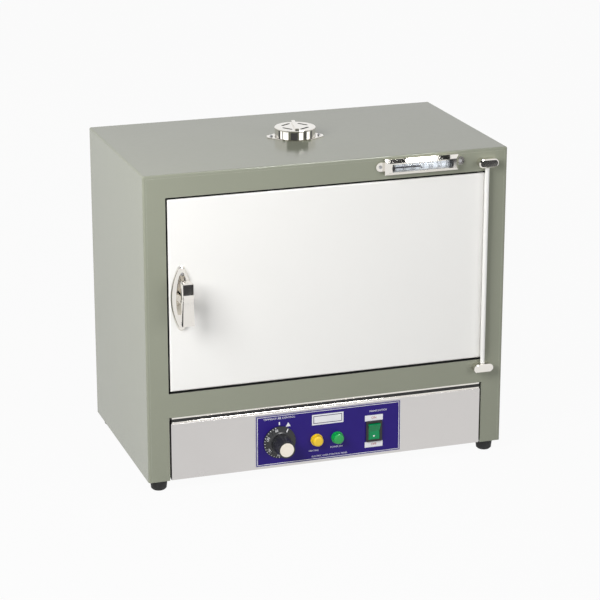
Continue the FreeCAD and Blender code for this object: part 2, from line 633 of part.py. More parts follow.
# Chamber liner: a folded steel box, open at the front, with a flange that closes the jamb
liner = new_body("chamber_liner")
block(liner, "XZ", "stop", "cham_depth + cham_wall", "-cham_half - cham_wall", "cham_low - cham_wall",
      "cham_half + cham_wall", "cham_top + cham_wall")
block(liner, "XZ", "stop", "cham_wall", "-open_half - skin", "sill - skin", "open_half + skin",
      "lintel + skin")
cut_block(liner, "XZ", "stop", "cham_depth", "-cham_half", "cham_low", "cham_half", "cham_top")
stem_hole = ("stem_across", "stem_y", "stem_dia + 2 * channel_clear")
cut_holes(liner, "XY", "cham_top", "cham_wall", [("0", "vent_y", "vent_bore"), stem_hole])
heater_xs = ["heater_bend * (%d - heater_legs)" % (2 * leg + 1) for leg in range(SIZES["heater_legs"])]
pin_holes = [(across, "heater_z", "heater_dia + 2 * end_clear") for across in (heater_xs[0], heater_xs[-1])]
cut_holes(liner, "XZ", "cham_back", "cham_wall", pin_holes)
cut_holes(liner, "XY", "cham_low - cham_wall", "cham_wall", [capillary_hole])

# Mineral wool round the liner
wool_front = "stop + cham_wall"
wool_back = "back - rear_air"
wool_roof = "cham_top + cham_wall"
wool = new_body("chamber_insulation")
block(wool, "XY", "deck + skin", "top - roof_air - deck - skin", "skin - half", wool_front, "half - skin",
      wool_back)
cut_block(wool, "XZ", wool_front, "cham_depth", "-cham_half - cham_wall", "cham_low - cham_wall",
          "cham_half + cham_wall", wool_roof)
cut_holes(wool, "XZ", "cham_back", wool_back + " - cham_back", pin_holes)
cut_holes(wool, "XY", "deck", "cham_low - deck", [capillary_hole])
cut_holes(wool, "XY", "cham_top", "top - cham_top",
          [("0", "vent_y", "vent_bore + 2 * duct_wall + 2 * end_clear"), stem_hole])
cut_block(wool, "XY", "thermo_z - stem_bend", "top - thermo_z + stem_bend",
          "stem_across - stem_dia / 2 - channel_clear", "stop",
          "stem_across + stem_dia / 2 + channel_clear", "stem_y + stem_dia / 2 + channel_clear")

# Shelf racks: a folded frame on each side wall, with a row of ledges
for side, wall_x, tip_x in (("left", "-cham_half", "-cham_half"),
                            ("right", "cham_half - rack_thick", "cham_half - rack_thick - ledge_reach")):
    rack = new_body("shelf_rack_" + side)
    sketch = new_sketch(rack, "YZ", wall_x)
    rectangle(sketch, "rack_y", "rack_low", "rack_y + rack_depth", "rack_low + rack_height")
    rectangle(sketch, "rack_y + rack_bar", "rack_low + rack_bar", "rack_y + rack_depth - rack_bar",
              "rack_low + rack_height - rack_bar")
    pad(rack, sketch, "rack_thick")
    sketch = new_sketch(rack, "YZ", tip_x)
    rectangle(sketch, "rack_y", "rack_low + ledge_first", "rack_y + rack_depth",
              "rack_low + ledge_first + ledge_thick")
    ledge = pad(rack, sketch, "rack_thick + ledge_reach")
    repeat(rack, ledge, sketch, "V_Axis", "ledge_pitch * (ledge_count - 1)", "ledge_count")


# Shelves: a rod frame with welded wires, resting on the ledges
shelf_side = "(cham_half - rack_thick - shelf_gap - shelf_rod / 2)"
shelf_front = "(rack_y + shelf_rod / 2)"
shelf_rear = "(rack_y + rack_depth - shelf_rod / 2)"
for name, ledge in (("lower", "shelf_low_ledge"), ("upper", "shelf_high_ledge")):
    shelf = new_body("shelf_" + name)
    rod_z = "(rack_low + ledge_first + ledge_pitch * %s + ledge_thick + shelf_rod / 2)" % ledge
    path = new_sketch(shelf, "XY", rod_z)
    rounded_rectangle(path, "-" + shelf_side, shelf_front, shelf_side, shelf_rear, "shelf_corner")
    section = new_sketch(shelf, "YZ")
    circle(section, shelf_front, rod_z, "shelf_rod")
    pipe(shelf, section, path)
    sketch = new_sketch(shelf, "XZ", shelf_front)
    wire_z = rod_z + " + (shelf_rod + shelf_wire) / 2 - weld_sink"
    first_wire = "shelf_corner - " + shelf_side
    circle(sketch, first_wire, wire_z, "shelf_wire")
    wire = pad(shelf, sketch, shelf_rear + " - " + shelf_front)
    repeat(shelf, wire, sketch, "H_Axis", "2 * (%s - shelf_corner)" % shelf_side, "shelf_wires")

# Heater: one sheathed rod bent to and fro over the chamber floor, with its ends out at the back
heater = new_body("heating_element")
legs = SIZES["heater_legs"]
turn_levels = ("(stop + heater_inset + heater_bend)", "(cham_back - heater_inset - heater_bend)")
path = new_sketch(heater, "XY", "heater_z")
lines = []
for leg in range(legs):
    head = "cham_back + heater_pin" if leg == 0 else turn_levels[leg % 2 == 0]
    tail = "cham_back + heater_pin" if leg == legs - 1 else turn_levels[leg % 2]
    ends = [FreeCAD.Vector(number(heater_xs[leg]), number(level), 0) for level in (head, tail)]
    line = path.addGeometry(Part.LineSegment(*ends), False)
    pin_point(path, line, 1, heater_xs[leg], head)
    pin_point(path, line, 2, heater_xs[leg], tail)
    lines.append((line, ends))
for leg in range(legs - 1):
    (line, ends), (after, after_ends) = lines[leg], lines[leg + 1]
    middle = (ends[1] + after_ends[0]) / 2
    crown = FreeCAD.Vector(0, number("heater_bend") * (-1 if leg % 2 == 0 else 1), 0)
    arc = path.addGeometry(Part.Arc(ends[1], middle + crown, after_ends[0]), False)
    tips = (1, 2) if leg % 2 == 0 else (2, 1)
    path.addConstraint(Sketcher.Constraint("Coincident", arc, tips[0], line, 2))
    path.addConstraint(Sketcher.Constraint("Coincident", arc, tips[1], after, 1))
    level = turn_levels[leg % 2]
    held = path.addConstraint(Sketcher.Constraint("DistanceY", -1, 1, arc, 3, number(level)))
    path.setExpression("Constraints[%d]" % held, ex(level))
section = new_sketch(heater, "XZ", "cham_back + heater_pin")
circle(section, heater_xs[0], "heater_z", "heater_dia")
pipe(heater, section, path)

# Heater cover: a slotted steel tray with folded feet, over the heater
cover = new_body("heater_cover")
cover_side = "(cham_half - cover_inset)"
sketch = new_sketch(cover, "XZ", "stop + cover_inset")
outline(sketch, [("-" + cover_side, "cham_low"), ("cover_sheet - " + cover_side, "cham_low"),
                 ("cover_sheet - " + cover_side, "cham_low + cover_lift - cover_sheet"),
                 (cover_side + " - cover_sheet", "cham_low + cover_lift - cover_sheet"),
                 (cover_side + " - cover_sheet", "cham_low"), (cover_side, "cham_low"),
                 (cover_side, "cham_low + cover_lift"), ("-" + cover_side, "cham_low + cover_lift")])
pad(cover, sketch, "cham_depth - 2 * cover_inset")
sketch = new_sketch(cover, "XY", "cham_low + cover_lift - cover_sheet")
slot_x = "-cover_slot_pitch * (cover_slots - 1) / 2"
slot_y = "(stop + cham_depth / 2)"
capsule(sketch, (slot_x, slot_y + " - cover_slot_length / 2"), (slot_x, slot_y + " + cover_slot_length / 2"),
        "cover_slot_width")
slot = pocket(cover, sketch, "cover_sheet")
repeat(cover, slot, sketch, "H_Axis", "cover_slot_pitch * (cover_slots - 1)", "cover_slots")

# Door: a folded white pan, a steel inner panel with a raised plug, wool between, and a seal
door = new_body("door_skin")
block(door, "XZ", "face", "door_depth", "-door_half", "door_low", "door_half", "door_high")
round_edges(door, "door_round", {"y": "face", "x": "-door_half"}, {"y": "face", "x": "door_half"},
            {"y": "face", "z": "door_low"}, {"y": "face", "z": "door_high"})
cut_block(door, "XZ", "face + door_sheet", "door_depth", "door_sheet - door_half", "door_low + door_sheet",
          "door_half - door_sheet", "door_high - door_sheet")
cut_holes(door, "XZ", "face", "door_sheet", [("handle_x", "handle_z", "neck_dia + 2 * cam_clear")]
          + [(across, up, small_hole) for across, up in plate_spots])
cut_block(door, "YZ", "-door_half", "door_sheet", "cam_y - cam_clear", "handle_z - cam_reach",
          "cam_y + cam_thick + cam_clear", "handle_z + cam_width / 2 + cam_clear")
inner = new_body("door_inner_panel")
inner_y = "(face + door_depth - door_sheet)"
block(inner, "XZ", inner_y, "door_sheet", "door_sheet - door_half", "door_low + door_sheet",
      "door_half - door_sheet", "door_high - door_sheet")
block(inner, "XZ", "face + door_depth", "plug_depth", "plug_gap - cham_half", "cham_low + plug_gap",
      "cham_half - plug_gap", "cham_top - plug_gap")
cut_block(inner, "XZ", inner_y, "plug_depth", "plug_gap + door_sheet - cham_half",
          "cham_low + plug_gap + door_sheet", "cham_half - plug_gap - door_sheet",
          "cham_top - plug_gap - door_sheet")
slab("door_insulation", "latch_bay - door_half", "face + door_sheet", "door_low + door_sheet",
     "door_half - door_sheet", inner_y, "door_high - door_sheet")
gasket = new_body("door_gasket")
sketch = new_sketch(gasket, "XZ", "face + door_depth")
rectangle(sketch, "-cham_half - gasket_gap - gasket_width", "cham_low - gasket_gap - gasket_width",
          "cham_half + gasket_gap + gasket_width", "cham_top + gasket_gap + gasket_width")
rectangle(sketch, "-cham_half - gasket_gap", "cham_low - gasket_gap", "cham_half + gasket_gap",
          "cham_top + gasket_gap")
pad(gasket, sketch, "gasket_thick")

# Hinge: a tube up the whole door edge with a leaf on the door's side, turning on a pin in each bracket
tube = new_body("hinge_tube")
sketch = new_sketch(tube, "XY", "tube_low")
circle(sketch, "hinge_x", "hinge_y", "tube_dia")
circle(sketch, "hinge_x", "hinge_y", "tube_bore")
pad(tube, sketch, "tube_high - tube_low")
block(tube, "XY", "door_low + leaf_thick", "door_high - door_low - 2 * leaf_thick", "door_half",
      "hinge_y + (tube_dia + tube_bore) / 4", "door_half + leaf_thick", "face + leaf_depth")
pin_dia = "(tube_bore - 2 * pin_clear)"
for name, level in bracket_levels.items():
    bracket = new_body("hinge_bracket_" + name)
    sketch = new_sketch(bracket, "XZ", "face - bracket_depth")
    capsule(sketch, ("hinge_x - (bracket_width - bracket_height) / 2", level + " + bracket_height / 2"),
            ("hinge_x + (bracket_width - bracket_height) / 2", level + " + bracket_height / 2"),
            "bracket_height")
    pad(bracket, sketch, "bracket_depth")
    bevel_edges(bracket, "bracket_height / 8", {"y": "face - bracket_depth"})
    cut_holes(bracket, "XY", level, "bracket_height", [("hinge_x", "hinge_y", pin_dia)])
    for across, up in bracket_spots:
        if up.startswith(level):
            cut_holes(bracket, "XZ", "face - bracket_depth + bracket_wall", "bracket_depth - bracket_wall",
                      [(across, up, small_hole)])
rods("hinge_pins", pin_dia, "bracket_height + pin_reach + end_clear",
     [("hinge_x", "hinge_y", bracket_levels["lower"]),
      ("hinge_x", "hinge_y", bracket_levels["upper"] + " - pin_reach - end_clear")], UP)
screws("hinge_screws", [(across, "face + skin", up) for across, up in bracket_spots], REAR, True,
       "bracket_depth - bracket_wall")

# Handle: a domed oval plate and a cast lever whose neck turns in it
plate = new_body("handle_plate")
sections = []
for step, share in enumerate((1, 0.86, 0.5)):
    height = ("0", "plate_dome * 0.62", "plate_dome")[step]
    sketch = new_sketch(plate, "XZ", "-(%s)" % height)
    oval(sketch, "plate_width * %s" % share, "plate_height * %s" % (1, 0.93, 0.72)[step],
         "plate_tip * %s" % share)
    sections.append(sketch)
dome = plate.newObject("PartDesign::AdditiveLoft", "handle_plate_dome")
dome.Profile = sections[0]
dome.Sections = sections[1:]
doc.recompute()
neck_hole = ("0", "0", "neck_dia + 2 * pin_clear")
cut_holes(plate, "XZ", "-plate_dome - overrun", "plate_dome + 2 * overrun", [neck_hole] + [
    ("0", step, small_hole) for step in ("plate_screw_step", "-plate_screw_step")])
head_seat = "small_head_dia + 2 * screw_clear"
cut_holes(plate, "XZ", "-plate_dome - overrun", "overrun + plate_dome / 2",
          [("0", "plate_screw_step", head_seat), ("0", "-plate_screw_step", head_seat)])
put(plate, "handle_x", "face", "handle_z")
screws("handle_screws", [(across, "face - plate_dome / 2", up) for across, up in plate_spots], FRONT, True)

lever = new_body("handle_lever")
reach = "front_reach"
sketch = new_sketch(lever, "YZ", "-lever_width / 2")
outline(sketch, [
    ("paddle_set - " + reach, "-paddle_drop"), ("paddle_set + paddle_thick - " + reach, "-paddle_drop"),
    ("ridge_depth - " + reach, "-neck_dia / 2"), ("head_depth + paddle_set - " + reach, "ridge_low"),
    ("head_depth + paddle_set - " + reach, "head_top"), ("paddle_set - " + reach, "head_top"),
    ("paddle_set - " + reach, "head_low"), ("-" + reach, "(head_low + ridge_low) / 2"),
    ("paddle_set - " + reach, "ridge_low - paddle_set")])
pad(lever, sketch, "lever_width")
for sign in ("-", ""):
    sketch = new_sketch(lever, "XZ", "-front_reach - overrun")
    beyond = sign + "(lever_width / 2 + overrun)"
    outline(sketch, [(sign + "lever_width / 2", "-paddle_drop"), (beyond, "-paddle_drop"),
                     (beyond, "head_top"),
                     (sign + "head_width / 2", "head_top"), (sign + "head_width / 2", "ridge_low")])
    pocket(lever, sketch, "front_reach")
round_edges(lever, "lever_round", {"y": "paddle_set - " + reach, "z": "head_top"},
            {"y": "paddle_set - " + reach, "z": "-paddle_drop"}, {"z": "head_top", "x": "head_width / 2"},
            {"z": "head_top", "x": "-head_width / 2"})
neck_end = "(door_sheet + end_clear)"
neck_start = "(paddle_set + paddle_thick - front_reach)"
sketch = new_sketch(lever, "XZ", neck_start)
circle(sketch, "0", "0", "neck_dia")
pad(lever, sketch, neck_end + " - " + neck_start)
put(lever, "handle_x", "face", "handle_z")
spindle = new_body("handle_spindle")
sketch = new_sketch(spindle, "XZ", neck_end)
circle(sketch, "0", "0", "spindle_dia")
pad(spindle, sketch, "spindle_length")
put(spindle, "handle_x", "face", "handle_z")
cam = new_body("latch_cam")
sketch = new_sketch(cam, "XZ", "cam_set")
capsule(sketch, ("cam_width / 2 - cam_reach", "0"), ("0", "0"), "cam_width")
circle(sketch, "0", "0", "spindle_dia")
pad(cam, sketch, "cam_thick")
put(cam, "handle_x", "face", "handle_z")
keeper = new_body("latch_keeper")
keeper_x = "-open_half - skin - keeper_thick"
block(keeper, "YZ", keeper_x, "keeper_thick", "face + skin + end_clear", "handle_z - keeper_height / 2",
      "face + skin + end_clear + keeper_depth", "handle_z + keeper_height / 2")
cut_block(keeper, "YZ", keeper_x, "keeper_thick", "cam_y - cam_clear",
          "handle_z - cam_sweep", "cam_y + cam_thick + cam_clear", "handle_z + cam_width / 2 + cam_clear")

# Vent: a duct through the roof, a fixed slotted cup on an eared flange, and a cap that turns over it
duct_outer = "(vent_bore / 2 + duct_wall)"
duct = turned("vent_duct", "XZ", [("vent_bore / 2", wool_roof), (duct_outer, wool_roof),
                                  (duct_outer, "top - skin"), ("vent_bore / 2", "top - skin")])
put(duct, "0", "vent_y", "0")

vent_base = new_body("vent_base")
sketch = new_sketch(vent_base, "XY")
ear = ("flange_reach", "flange_tip")
waist = ("flange_half * 1.7", "flange_half")
outline(sketch, [("-" + ear[0], "-" + ear[1]), ("-" + waist[0] + " / 2", "-" + waist[1]),
                 (waist[0] + " / 2", "-" + waist[1]), (ear[0], "-" + ear[1]), ear,
                 (waist[0] + " / 2", waist[1]), ("-" + waist[0] + " / 2", waist[1]), ("-" + ear[0], ear[1])])
circle(sketch, "0", "0", "vent_bore")
pad(vent_base, sketch, "flange_thick")
turn_more(vent_base, "XZ", [
    ("vent_bore / 2", "0"), ("cap_dia / 2", "0"), ("cap_dia / 2", "flange_thick"),
    ("cup_dia / 2", "flange_thick"),
    ("cup_dia / 2", "flange_thick + cup_height"), ("pivot_dia / 2", "flange_thick + cup_height"),
    ("pivot_dia / 2", "flange_thick + cup_height - cup_wall"),
    ("cup_dia / 2 - cup_wall", "flange_thick + cup_height - cup_wall"),
    ("cup_dia / 2 - cup_wall", "flange_thick"), ("vent_bore / 2", "flange_thick")])
vent_slot(vent_base, "flange_thick + cup_height - cup_wall", "cup_wall")
cut_holes(vent_base, "XY", "0", "flange_thick", [("-vent_screw_step", "0", small_hole),
                                                 ("vent_screw_step", "0", small_hole)])
turn_about_up(vent_base, "vent_turn")
put(vent_base, "0", "vent_y", "top")
screws("vent_screws", [(across, deep, "top + flange_thick") for across, deep in vent_spots], UP, True)
pivot = turned("vent_pivot", "XZ", [
    ("0", "top + flange_thick + cup_height - cup_wall"),
    ("pivot_dia / 2", "top + flange_thick + cup_height - cup_wall"),
    ("pivot_dia / 2", "cap_low + cap_height - end_clear"), ("0", "cap_low + cap_height - end_clear")])
put(pivot, "0", "vent_y", "0")

cap = turned("vent_cap", "XZ", [
    ("cap_dia / 2 - cap_wall", "0"), ("cap_dia / 2", "0"), ("cap_dia / 2", "cap_height"),
    ("pivot_dia / 2 + pin_clear", "cap_height"), ("pivot_dia / 2 + pin_clear", "cap_height - cap_top"),
    ("cap_dia / 2 - cap_wall", "cap_height - cap_top")])
round_edges(cap, "cap_round", {"z": "cap_height", "radius": "cap_dia / 2"})
vent_slot(cap, "cap_height - cap_top", "cap_top")
block(cap, "XY", "cap_height", "bar_height", "-bar_width / 2", "-bar_length / 2", "bar_width / 2",
      "bar_length / 2")
round_edges(cap, "cap_round", {"z": "cap_height + bar_height"})
turn_about_up(cap, "vent_turn")
put(cap, "0", "vent_y", "cap_low")

# Thermometer: a bevelled housing with screw ears, a glass tube over a scale, and a stem to the chamber
thermo = new_body("thermometer_housing")
thermo_front = "(face - thermo_depth)"
left_end = "(thermo_across - thermo_length / 2)"
right_end = "(thermo_across + thermo_length / 2)"
block(thermo, "XZ", thermo_front, "thermo_depth", left_end, "thermo_z - thermo_height / 2", right_end,
      "thermo_z + thermo_height / 2")
bevel_edges(thermo, "thermo_bevel", {"y": thermo_front})
sketch = new_sketch(thermo, "XZ", "face - ear_thick")
capsule(sketch, (left_end + " - ear_reach + ear_height / 2", "thermo_z"),
        (right_end + " + ear_reach - ear_height / 2", "thermo_z"), "ear_height")
pad(thermo, sketch, "ear_thick")
window_z = "(thermo_z - window_drop)"
cut_block(thermo, "XZ", thermo_front, "window_depth", "thermo_across - window_length / 2",
          window_z + " - window_height / 2", "thermo_across + window_length / 2",
          window_z + " + window_height / 2")
cut_holes(thermo, "XZ", "face - ear_thick", "ear_thick",
          [(across, up, small_hole) for across, up in ear_spots])
glass = new_body("thermometer_tube")
sketch = new_sketch(glass, "YZ", "thermo_across - window_length / 2")
circle(sketch, thermo_front + " + glass_dia / 2 - overrun / 2", window_z, "glass_dia")
pad(glass, sketch, "window_length")
slab("thermometer_scale", "thermo_across - window_length / 2",
     thermo_front + " + window_depth - scale_thick", window_z + " - window_height / 2",
     "thermo_across + window_length / 2", thermo_front + " + window_depth",
     window_z + " + window_height / 2")
screws("thermometer_screws", [(across, "face - ear_thick", up) for across, up in ear_spots], FRONT, True)
stem = new_body("thermometer_stem")
path = new_sketch(stem, "YZ")
bend_start = FreeCAD.Vector(number("stem_y - stem_bend"), number("thermo_z"), 0)
bend_centre = bend_start - FreeCAD.Vector(0, number("stem_bend"), 0)
ring = Part.Circle(bend_centre, FreeCAD.Vector(0, 0, 1), number("stem_bend"))
bend = path.addGeometry(Part.ArcOfCircle(ring, 0, math.pi / 2), False)
run_start = FreeCAD.Vector(number("face"), number("thermo_z"), 0)
run = path.addGeometry(Part.LineSegment(run_start, bend_start), False)
tip = FreeCAD.Vector(number("stem_y"), number("cham_top - stem_tip"), 0)
drop = path.addGeometry(Part.LineSegment(path.Geometry[bend].StartPoint, tip), False)
path.addConstraint(Sketcher.Constraint("Tangent", run, 2, bend, 2))
path.addConstraint(Sketcher.Constraint("Tangent", drop, 1, bend, 1))
pin_point(path, run, 1, "face", "thermo_z")
pin_point(path, drop, 2, "stem_y", "cham_top - stem_tip")
pin_point(path, bend, 3, "stem_y - stem_bend", "thermo_z - stem_bend")
held = path.addConstraint(Sketcher.Constraint("Radius", bend, number("stem_bend")))
path.setExpression("Constraints[%d]" % held, ex("stem_bend"))
section = new_sketch(stem, "XZ", "face")
circle(section, "0", "thermo_z", "stem_dia")
pipe(stem, section, path)
put(stem, "stem_across")

# Control panel: a steel face folded back under the rail in a step, and at its foot
panel = new_body("control_panel")
sketch = new_sketch(panel, "YZ", "panel_gap - open_half")
low = "base"
brow = "base + panel_height"
ledge = "face + ledge_depth"
outline(sketch, [
    ("face + panel_foot", low), ("face", low), ("face", brow), (ledge, brow), (ledge, brow + " + panel_lip"),
    (ledge + " + panel_sheet", brow + " + panel_lip"), (ledge + " + panel_sheet", brow + " - panel_sheet"),
    ("face + panel_sheet", brow + " - panel_sheet"), ("face + panel_sheet", low + " + panel_sheet"),
    ("face + panel_foot", low + " + panel_sheet")])
pad(panel, sketch, "2 * (open_half - panel_gap)")
round_edges(panel, "panel_sheet * 0.9", {"y": "face", "z": brow}, {"y": "face", "z": low})
switch_left = "(switch_across - switch_width / 2)"
switch_right = "(switch_across + switch_width / 2)"
panel_holes = [("knob_across", "knob_z", "shaft_dia + 2 * channel_clear"),
               ("amber_across", "lamp_z", "lamp_body_dia"), ("green_across", "lamp_z", "lamp_body_dia")]
label = new_body("label_plate")
block(label, "XZ", "panel_front", "label_thick", "-label_width / 2", "base + label_rise - label_height / 2",
      "label_width / 2", "base + label_rise + label_height / 2")
for body, level, depth in ((panel, "face", "panel_sheet"), (label, "panel_front", "label_thick")):
    cut_holes(body, "XZ", level, depth, panel_holes)
    cut_block(body, "XZ", level, depth, switch_left, "switch_z - switch_height / 2", switch_right,
              "switch_z + switch_height / 2")

# Thermostat: the body behind the panel, its shaft, the fluted knob, and the sensing bulb and capillary
stat = new_body("thermostat_body")
block(stat, "XZ", "face + panel_sheet", "stat_depth", "knob_across - stat_width / 2",
      "knob_z - stat_height / 2 + overrun", "knob_across + stat_width / 2", "knob_z + stat_height / 2")
cut_holes(stat, "XZ", "face + panel_sheet", "shaft_back + end_clear",
          [("knob_across", "knob_z", "shaft_dia + 2 * pin_clear")])
shaft = new_body("thermostat_shaft")
sketch = new_sketch(shaft, "XZ", "panel_front - shaft_grip")
circle(sketch, "knob_across", "knob_z", "shaft_dia")
pad(shaft, sketch, "shaft_grip + label_thick + panel_sheet + shaft_back")
knob = turned("thermostat_knob", "XY", [
    ("0", "-end_clear"), ("skirt_dia / 2", "-end_clear"), ("skirt_dia / 2", "-end_clear - skirt_edge"),
    ("grip_base_dia / 2 + skirt_edge", "-end_clear - skirt_thick"),
    ("grip_base_dia / 2", "-end_clear - skirt_thick - skirt_edge"),
    ("grip_tip_dia / 2", "-knob_reach"), ("disc_dia / 2", "-knob_reach"),
    ("disc_dia / 2", "disc_thick - knob_reach"), ("0", "disc_thick - knob_reach")])
sketch = new_sketch(knob, "XZ", "-knob_reach")
circle(sketch, "0", "grip_base_dia / 2 + flute_dia / 2 - flute_bite", "flute_dia")
flute = pocket(knob, sketch, "knob_reach - skirt_thick - 2 * skirt_edge")
repeat_round(knob, flute, "Y", "flutes")
cut_holes(knob, "XZ", "-shaft_grip", "shaft_grip", [("0", "0", "shaft_dia")])
put(knob, "knob_across", "panel_front", "knob_z")
disc = new_body("knob_disc")
sketch = new_sketch(disc, "XZ", "-knob_reach")
circle(sketch, "0", "0", "disc_dia")
pad(disc, sketch, "disc_thick")
put(disc, "knob_across", "panel_front", "knob_z")
bulb = new_body("thermostat_bulb")
sketch = new_sketch(bulb, "XY", "bulb_z")
circle(sketch, "bulb_across", "bulb_y", "bulb_dia")
pad(bulb, sketch, "bulb_length")
route = [("knob_across", "face + panel_sheet + stat_depth / 2", "knob_z + stat_height / 2"),
         ("knob_across", "face + panel_sheet + stat_depth / 2", "deck - capillary_drop"),
         ("bulb_across", "bulb_y", "deck - capillary_drop"), ("bulb_across", "bulb_y", "bulb_z")]
spots = [FreeCAD.Vector(*[number(text) for text in spot]) for spot in route]
edges = []
start = spots[0]
for before, corner, after in zip(spots, spots[1:], spots[2:]):
    inward = (before - corner).normalize() * number("capillary_bend")
    outward = (after - corner).normalize() * number("capillary_bend")
    entry = corner + inward
    leave = corner + outward
    middle = corner + (inward + outward) * (1 - math.sqrt(0.5))
    edges += [Part.LineSegment(start, entry).toShape(), Part.Arc(entry, middle, leave).toShape()]
    start = leave
edges.append(Part.LineSegment(start, spots[-1]).toShape())
end_ring = Part.makeCircle(number("capillary_dia / 2"), spots[0], FreeCAD.Vector(0, 0, 1))
capillary = doc.addObject("Part::Feature", "capillary_tube")
capillary.Label = "capillary_tube"
capillary.Shape = Part.Wire(edges).makePipeShell([Part.Wire([end_ring])], True, False)
pieces.append(capillary)

# Pilot lamps: a moulded lens in front, a round body behind
for colour, across in (("amber", "amber_across"), ("green", "green_across")):
    lens = turned(colour + "_lamp_lens", "XY", [
        ("0", "0"), ("lens_dia / 2", "0"), ("lens_dia / 2", "-lens_collar"),
        ("lens_dia / 2 - lens_collar / 2", "-lens_collar"), ("lens_dia / 2 - lens_collar / 2", "-lens_reach"),
        ("0", "-lens_reach")])
    round_edges(lens, "lens_dia / 5", {"y": "-lens_reach", "radius": "lens_dia / 2 - lens_collar / 2"})
    put(lens, across, "panel_front", "lamp_z")
rods("lamp_bodies", "lamp_body_dia - 2 * pin_clear", "lamp_body_length",
     [("amber_across", "panel_front", "lamp_z"), ("green_across", "panel_front", "lamp_z")], REAR)

# Power switch: a bezelled housing with a rocker on two trunnions
housing = new_body("switch_housing")
bezel_front = "(panel_front - bezel_reach)"
bezel_xs = ("switch_across - bezel_width / 2", "switch_across + bezel_width / 2")
bezel_zs = ("switch_z - bezel_height / 2", "switch_z + bezel_height / 2")
block(housing, "XZ", bezel_front, "bezel_reach", bezel_xs[0], bezel_zs[0], bezel_xs[1], bezel_zs[1])
round_edges(housing, "bezel_round", *[{"x": across, "z": up} for across in bezel_xs for up in bezel_zs])
block(housing, "XZ", "panel_front", "switch_depth", switch_left, "switch_z - switch_height / 2", switch_right,
      "switch_z + switch_height / 2")
well_half = "(rocker_width / 2 + screw_clear)"
cut_block(housing, "XZ", bezel_front, "rocker_well", "switch_across - " + well_half,
          "switch_z - rocker_length / 2 - rocker_clear", "switch_across + " + well_half,
          "switch_z + rocker_length / 2 + rocker_clear")
cut_holes(housing, "YZ", "switch_across - " + well_half + " - trunnion_reach",
          "2 * (%s + trunnion_reach)" % well_half,
          [("panel_front + pivot_set", "switch_z", "trunnion_dia + 2 * pin_clear")])
rocker = new_body("switch_rocker")
sketch = new_sketch(rocker, "YZ", "-rocker_width / 2")
outline(sketch, [("-rocker_crown", "-rocker_length / 2"), ("-rocker_valley", "0"),
                 ("-rocker_crown", "rocker_length / 2"), ("0", "rocker_length / 2"),
                 ("rocker_keel", "rocker_keel / 2"), ("rocker_keel", "-rocker_keel / 2"),
                 ("0", "-rocker_length / 2")])
pad(rocker, sketch, "rocker_width")
sketch = new_sketch(rocker, "YZ", "-rocker_width / 2 - trunnion_reach")
circle(sketch, "0", "0", "trunnion_dia")
pad(rocker, sketch, "rocker_width + 2 * trunnion_reach")
rocker.Placement = FreeCAD.Placement(FreeCAD.Vector(), FreeCAD.Vector(1, 0, 0), 1)
rocker.setExpression(".Placement.Rotation.Angle", ex("rocker_tilt"))
put(rocker, "switch_across", "panel_front + pivot_set", "switch_z")

# Rear and inside: the lead's gland with its nut, and the terminal block on the base pan
gland_end = "(rear_reach - skin)"
gland = turned("cable_gland", "XY", [
    ("gland_bore / 2", "-gland_inside - skin"), ("gland_thread_dia / 2", "-gland_inside - skin"),
    ("gland_thread_dia / 2", "0"), ("gland_flange_dia / 2", "0"), ("gland_flange_dia / 2", "skin"),
    ("gland_thread_dia / 2 + skin", "skin"), ("gland_thread_dia / 2 + skin", gland_end + " * 0.7"),
    ("gland_thread_dia / 2 - skin", gland_end), ("gland_bore / 2", gland_end)])
sketch = new_sketch(gland, "XZ", "skin")
hexagon(sketch, "gland_hex")
circle(sketch, "0", "0", "gland_bore")
pad(gland, sketch, gland_end + " / 2 - skin")
put(gland, "gland_across", "back + skin", "gland_z")
nut = new_body("gland_nut")
sketch = new_sketch(nut, "XZ", "-skin - screw_length / 2")
hexagon(sketch, "gland_hex")
circle(sketch, "0", "0", "gland_thread_dia")
pad(nut, sketch, "screw_length / 2")
put(nut, "gland_across", "back + skin", "gland_z")
terminal = new_body("terminal_block")
block(terminal, "XY", "base + skin", "block_height", "block_across - block_width / 2",
      "back - block_set - block_depth", "block_across + block_width / 2", "back - block_set")
sketch = new_sketch(terminal, "XY", "base + skin + block_height / 3")
way_pitch = "(block_width / block_ways)"
circle(sketch, "block_across - %s * (block_ways - 1) / 2" % way_pitch, "back - block_set - block_depth / 2",
       "block_way_dia")
way = pocket(terminal, sketch, "block_height")
repeat(terminal, way, sketch, "H_Axis", way_pitch + " * (block_ways - 1)", "block_ways")

# Check everything, then write one STEP file for each piece
doc.recompute()
failed = [item.Label for item in doc.Objects if "Invalid" in item.State or "Error" in item.State]
for item in doc.Objects:
    if item.TypeId == "PartDesign::Pocket" and item.BaseFeature is not None:
        if item.Shape.isNull() or item.Shape.Volume > item.BaseFeature.Shape.Volume - 0.01:
            failed.append(item.Label + " cuts nothing")
for piece in pieces:
    if piece.Shape.isNull() or not piece.Shape.isValid() or not piece.Shape.Solids:
        failed.append(piece.Label)
if failed:
    raise RuntimeError("These objects failed: " + ", ".join(sorted(set(failed))))
os.makedirs("parts", exist_ok=True)
for piece in pieces:
    piece.Shape.exportStep("parts/" + piece.Label + ".step")
    box = piece.Shape.BoundBox
    print("%-22s solids %d  volume %.0f  x %.1f..%.1f  y %.1f..%.1f  z %.1f..%.1f" % (
        piece.Label, len(piece.Shape.Solids), piece.Shape.Volume, box.XMin, box.XMax, box.YMin, box.YMax,
        box.ZMin, box.ZMax))
print(len(pieces), "pieces")
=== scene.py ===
# %% [markdown]
# # Dressing a bench-top dry heat sterilizer
#
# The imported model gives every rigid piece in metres, so this script only adds what a photograph
# shows on top of it: paint, steel, glass and print. It also adds the small forms that are too fine
# for the solids, such as the crosses in the screw heads and the figures round the dial.

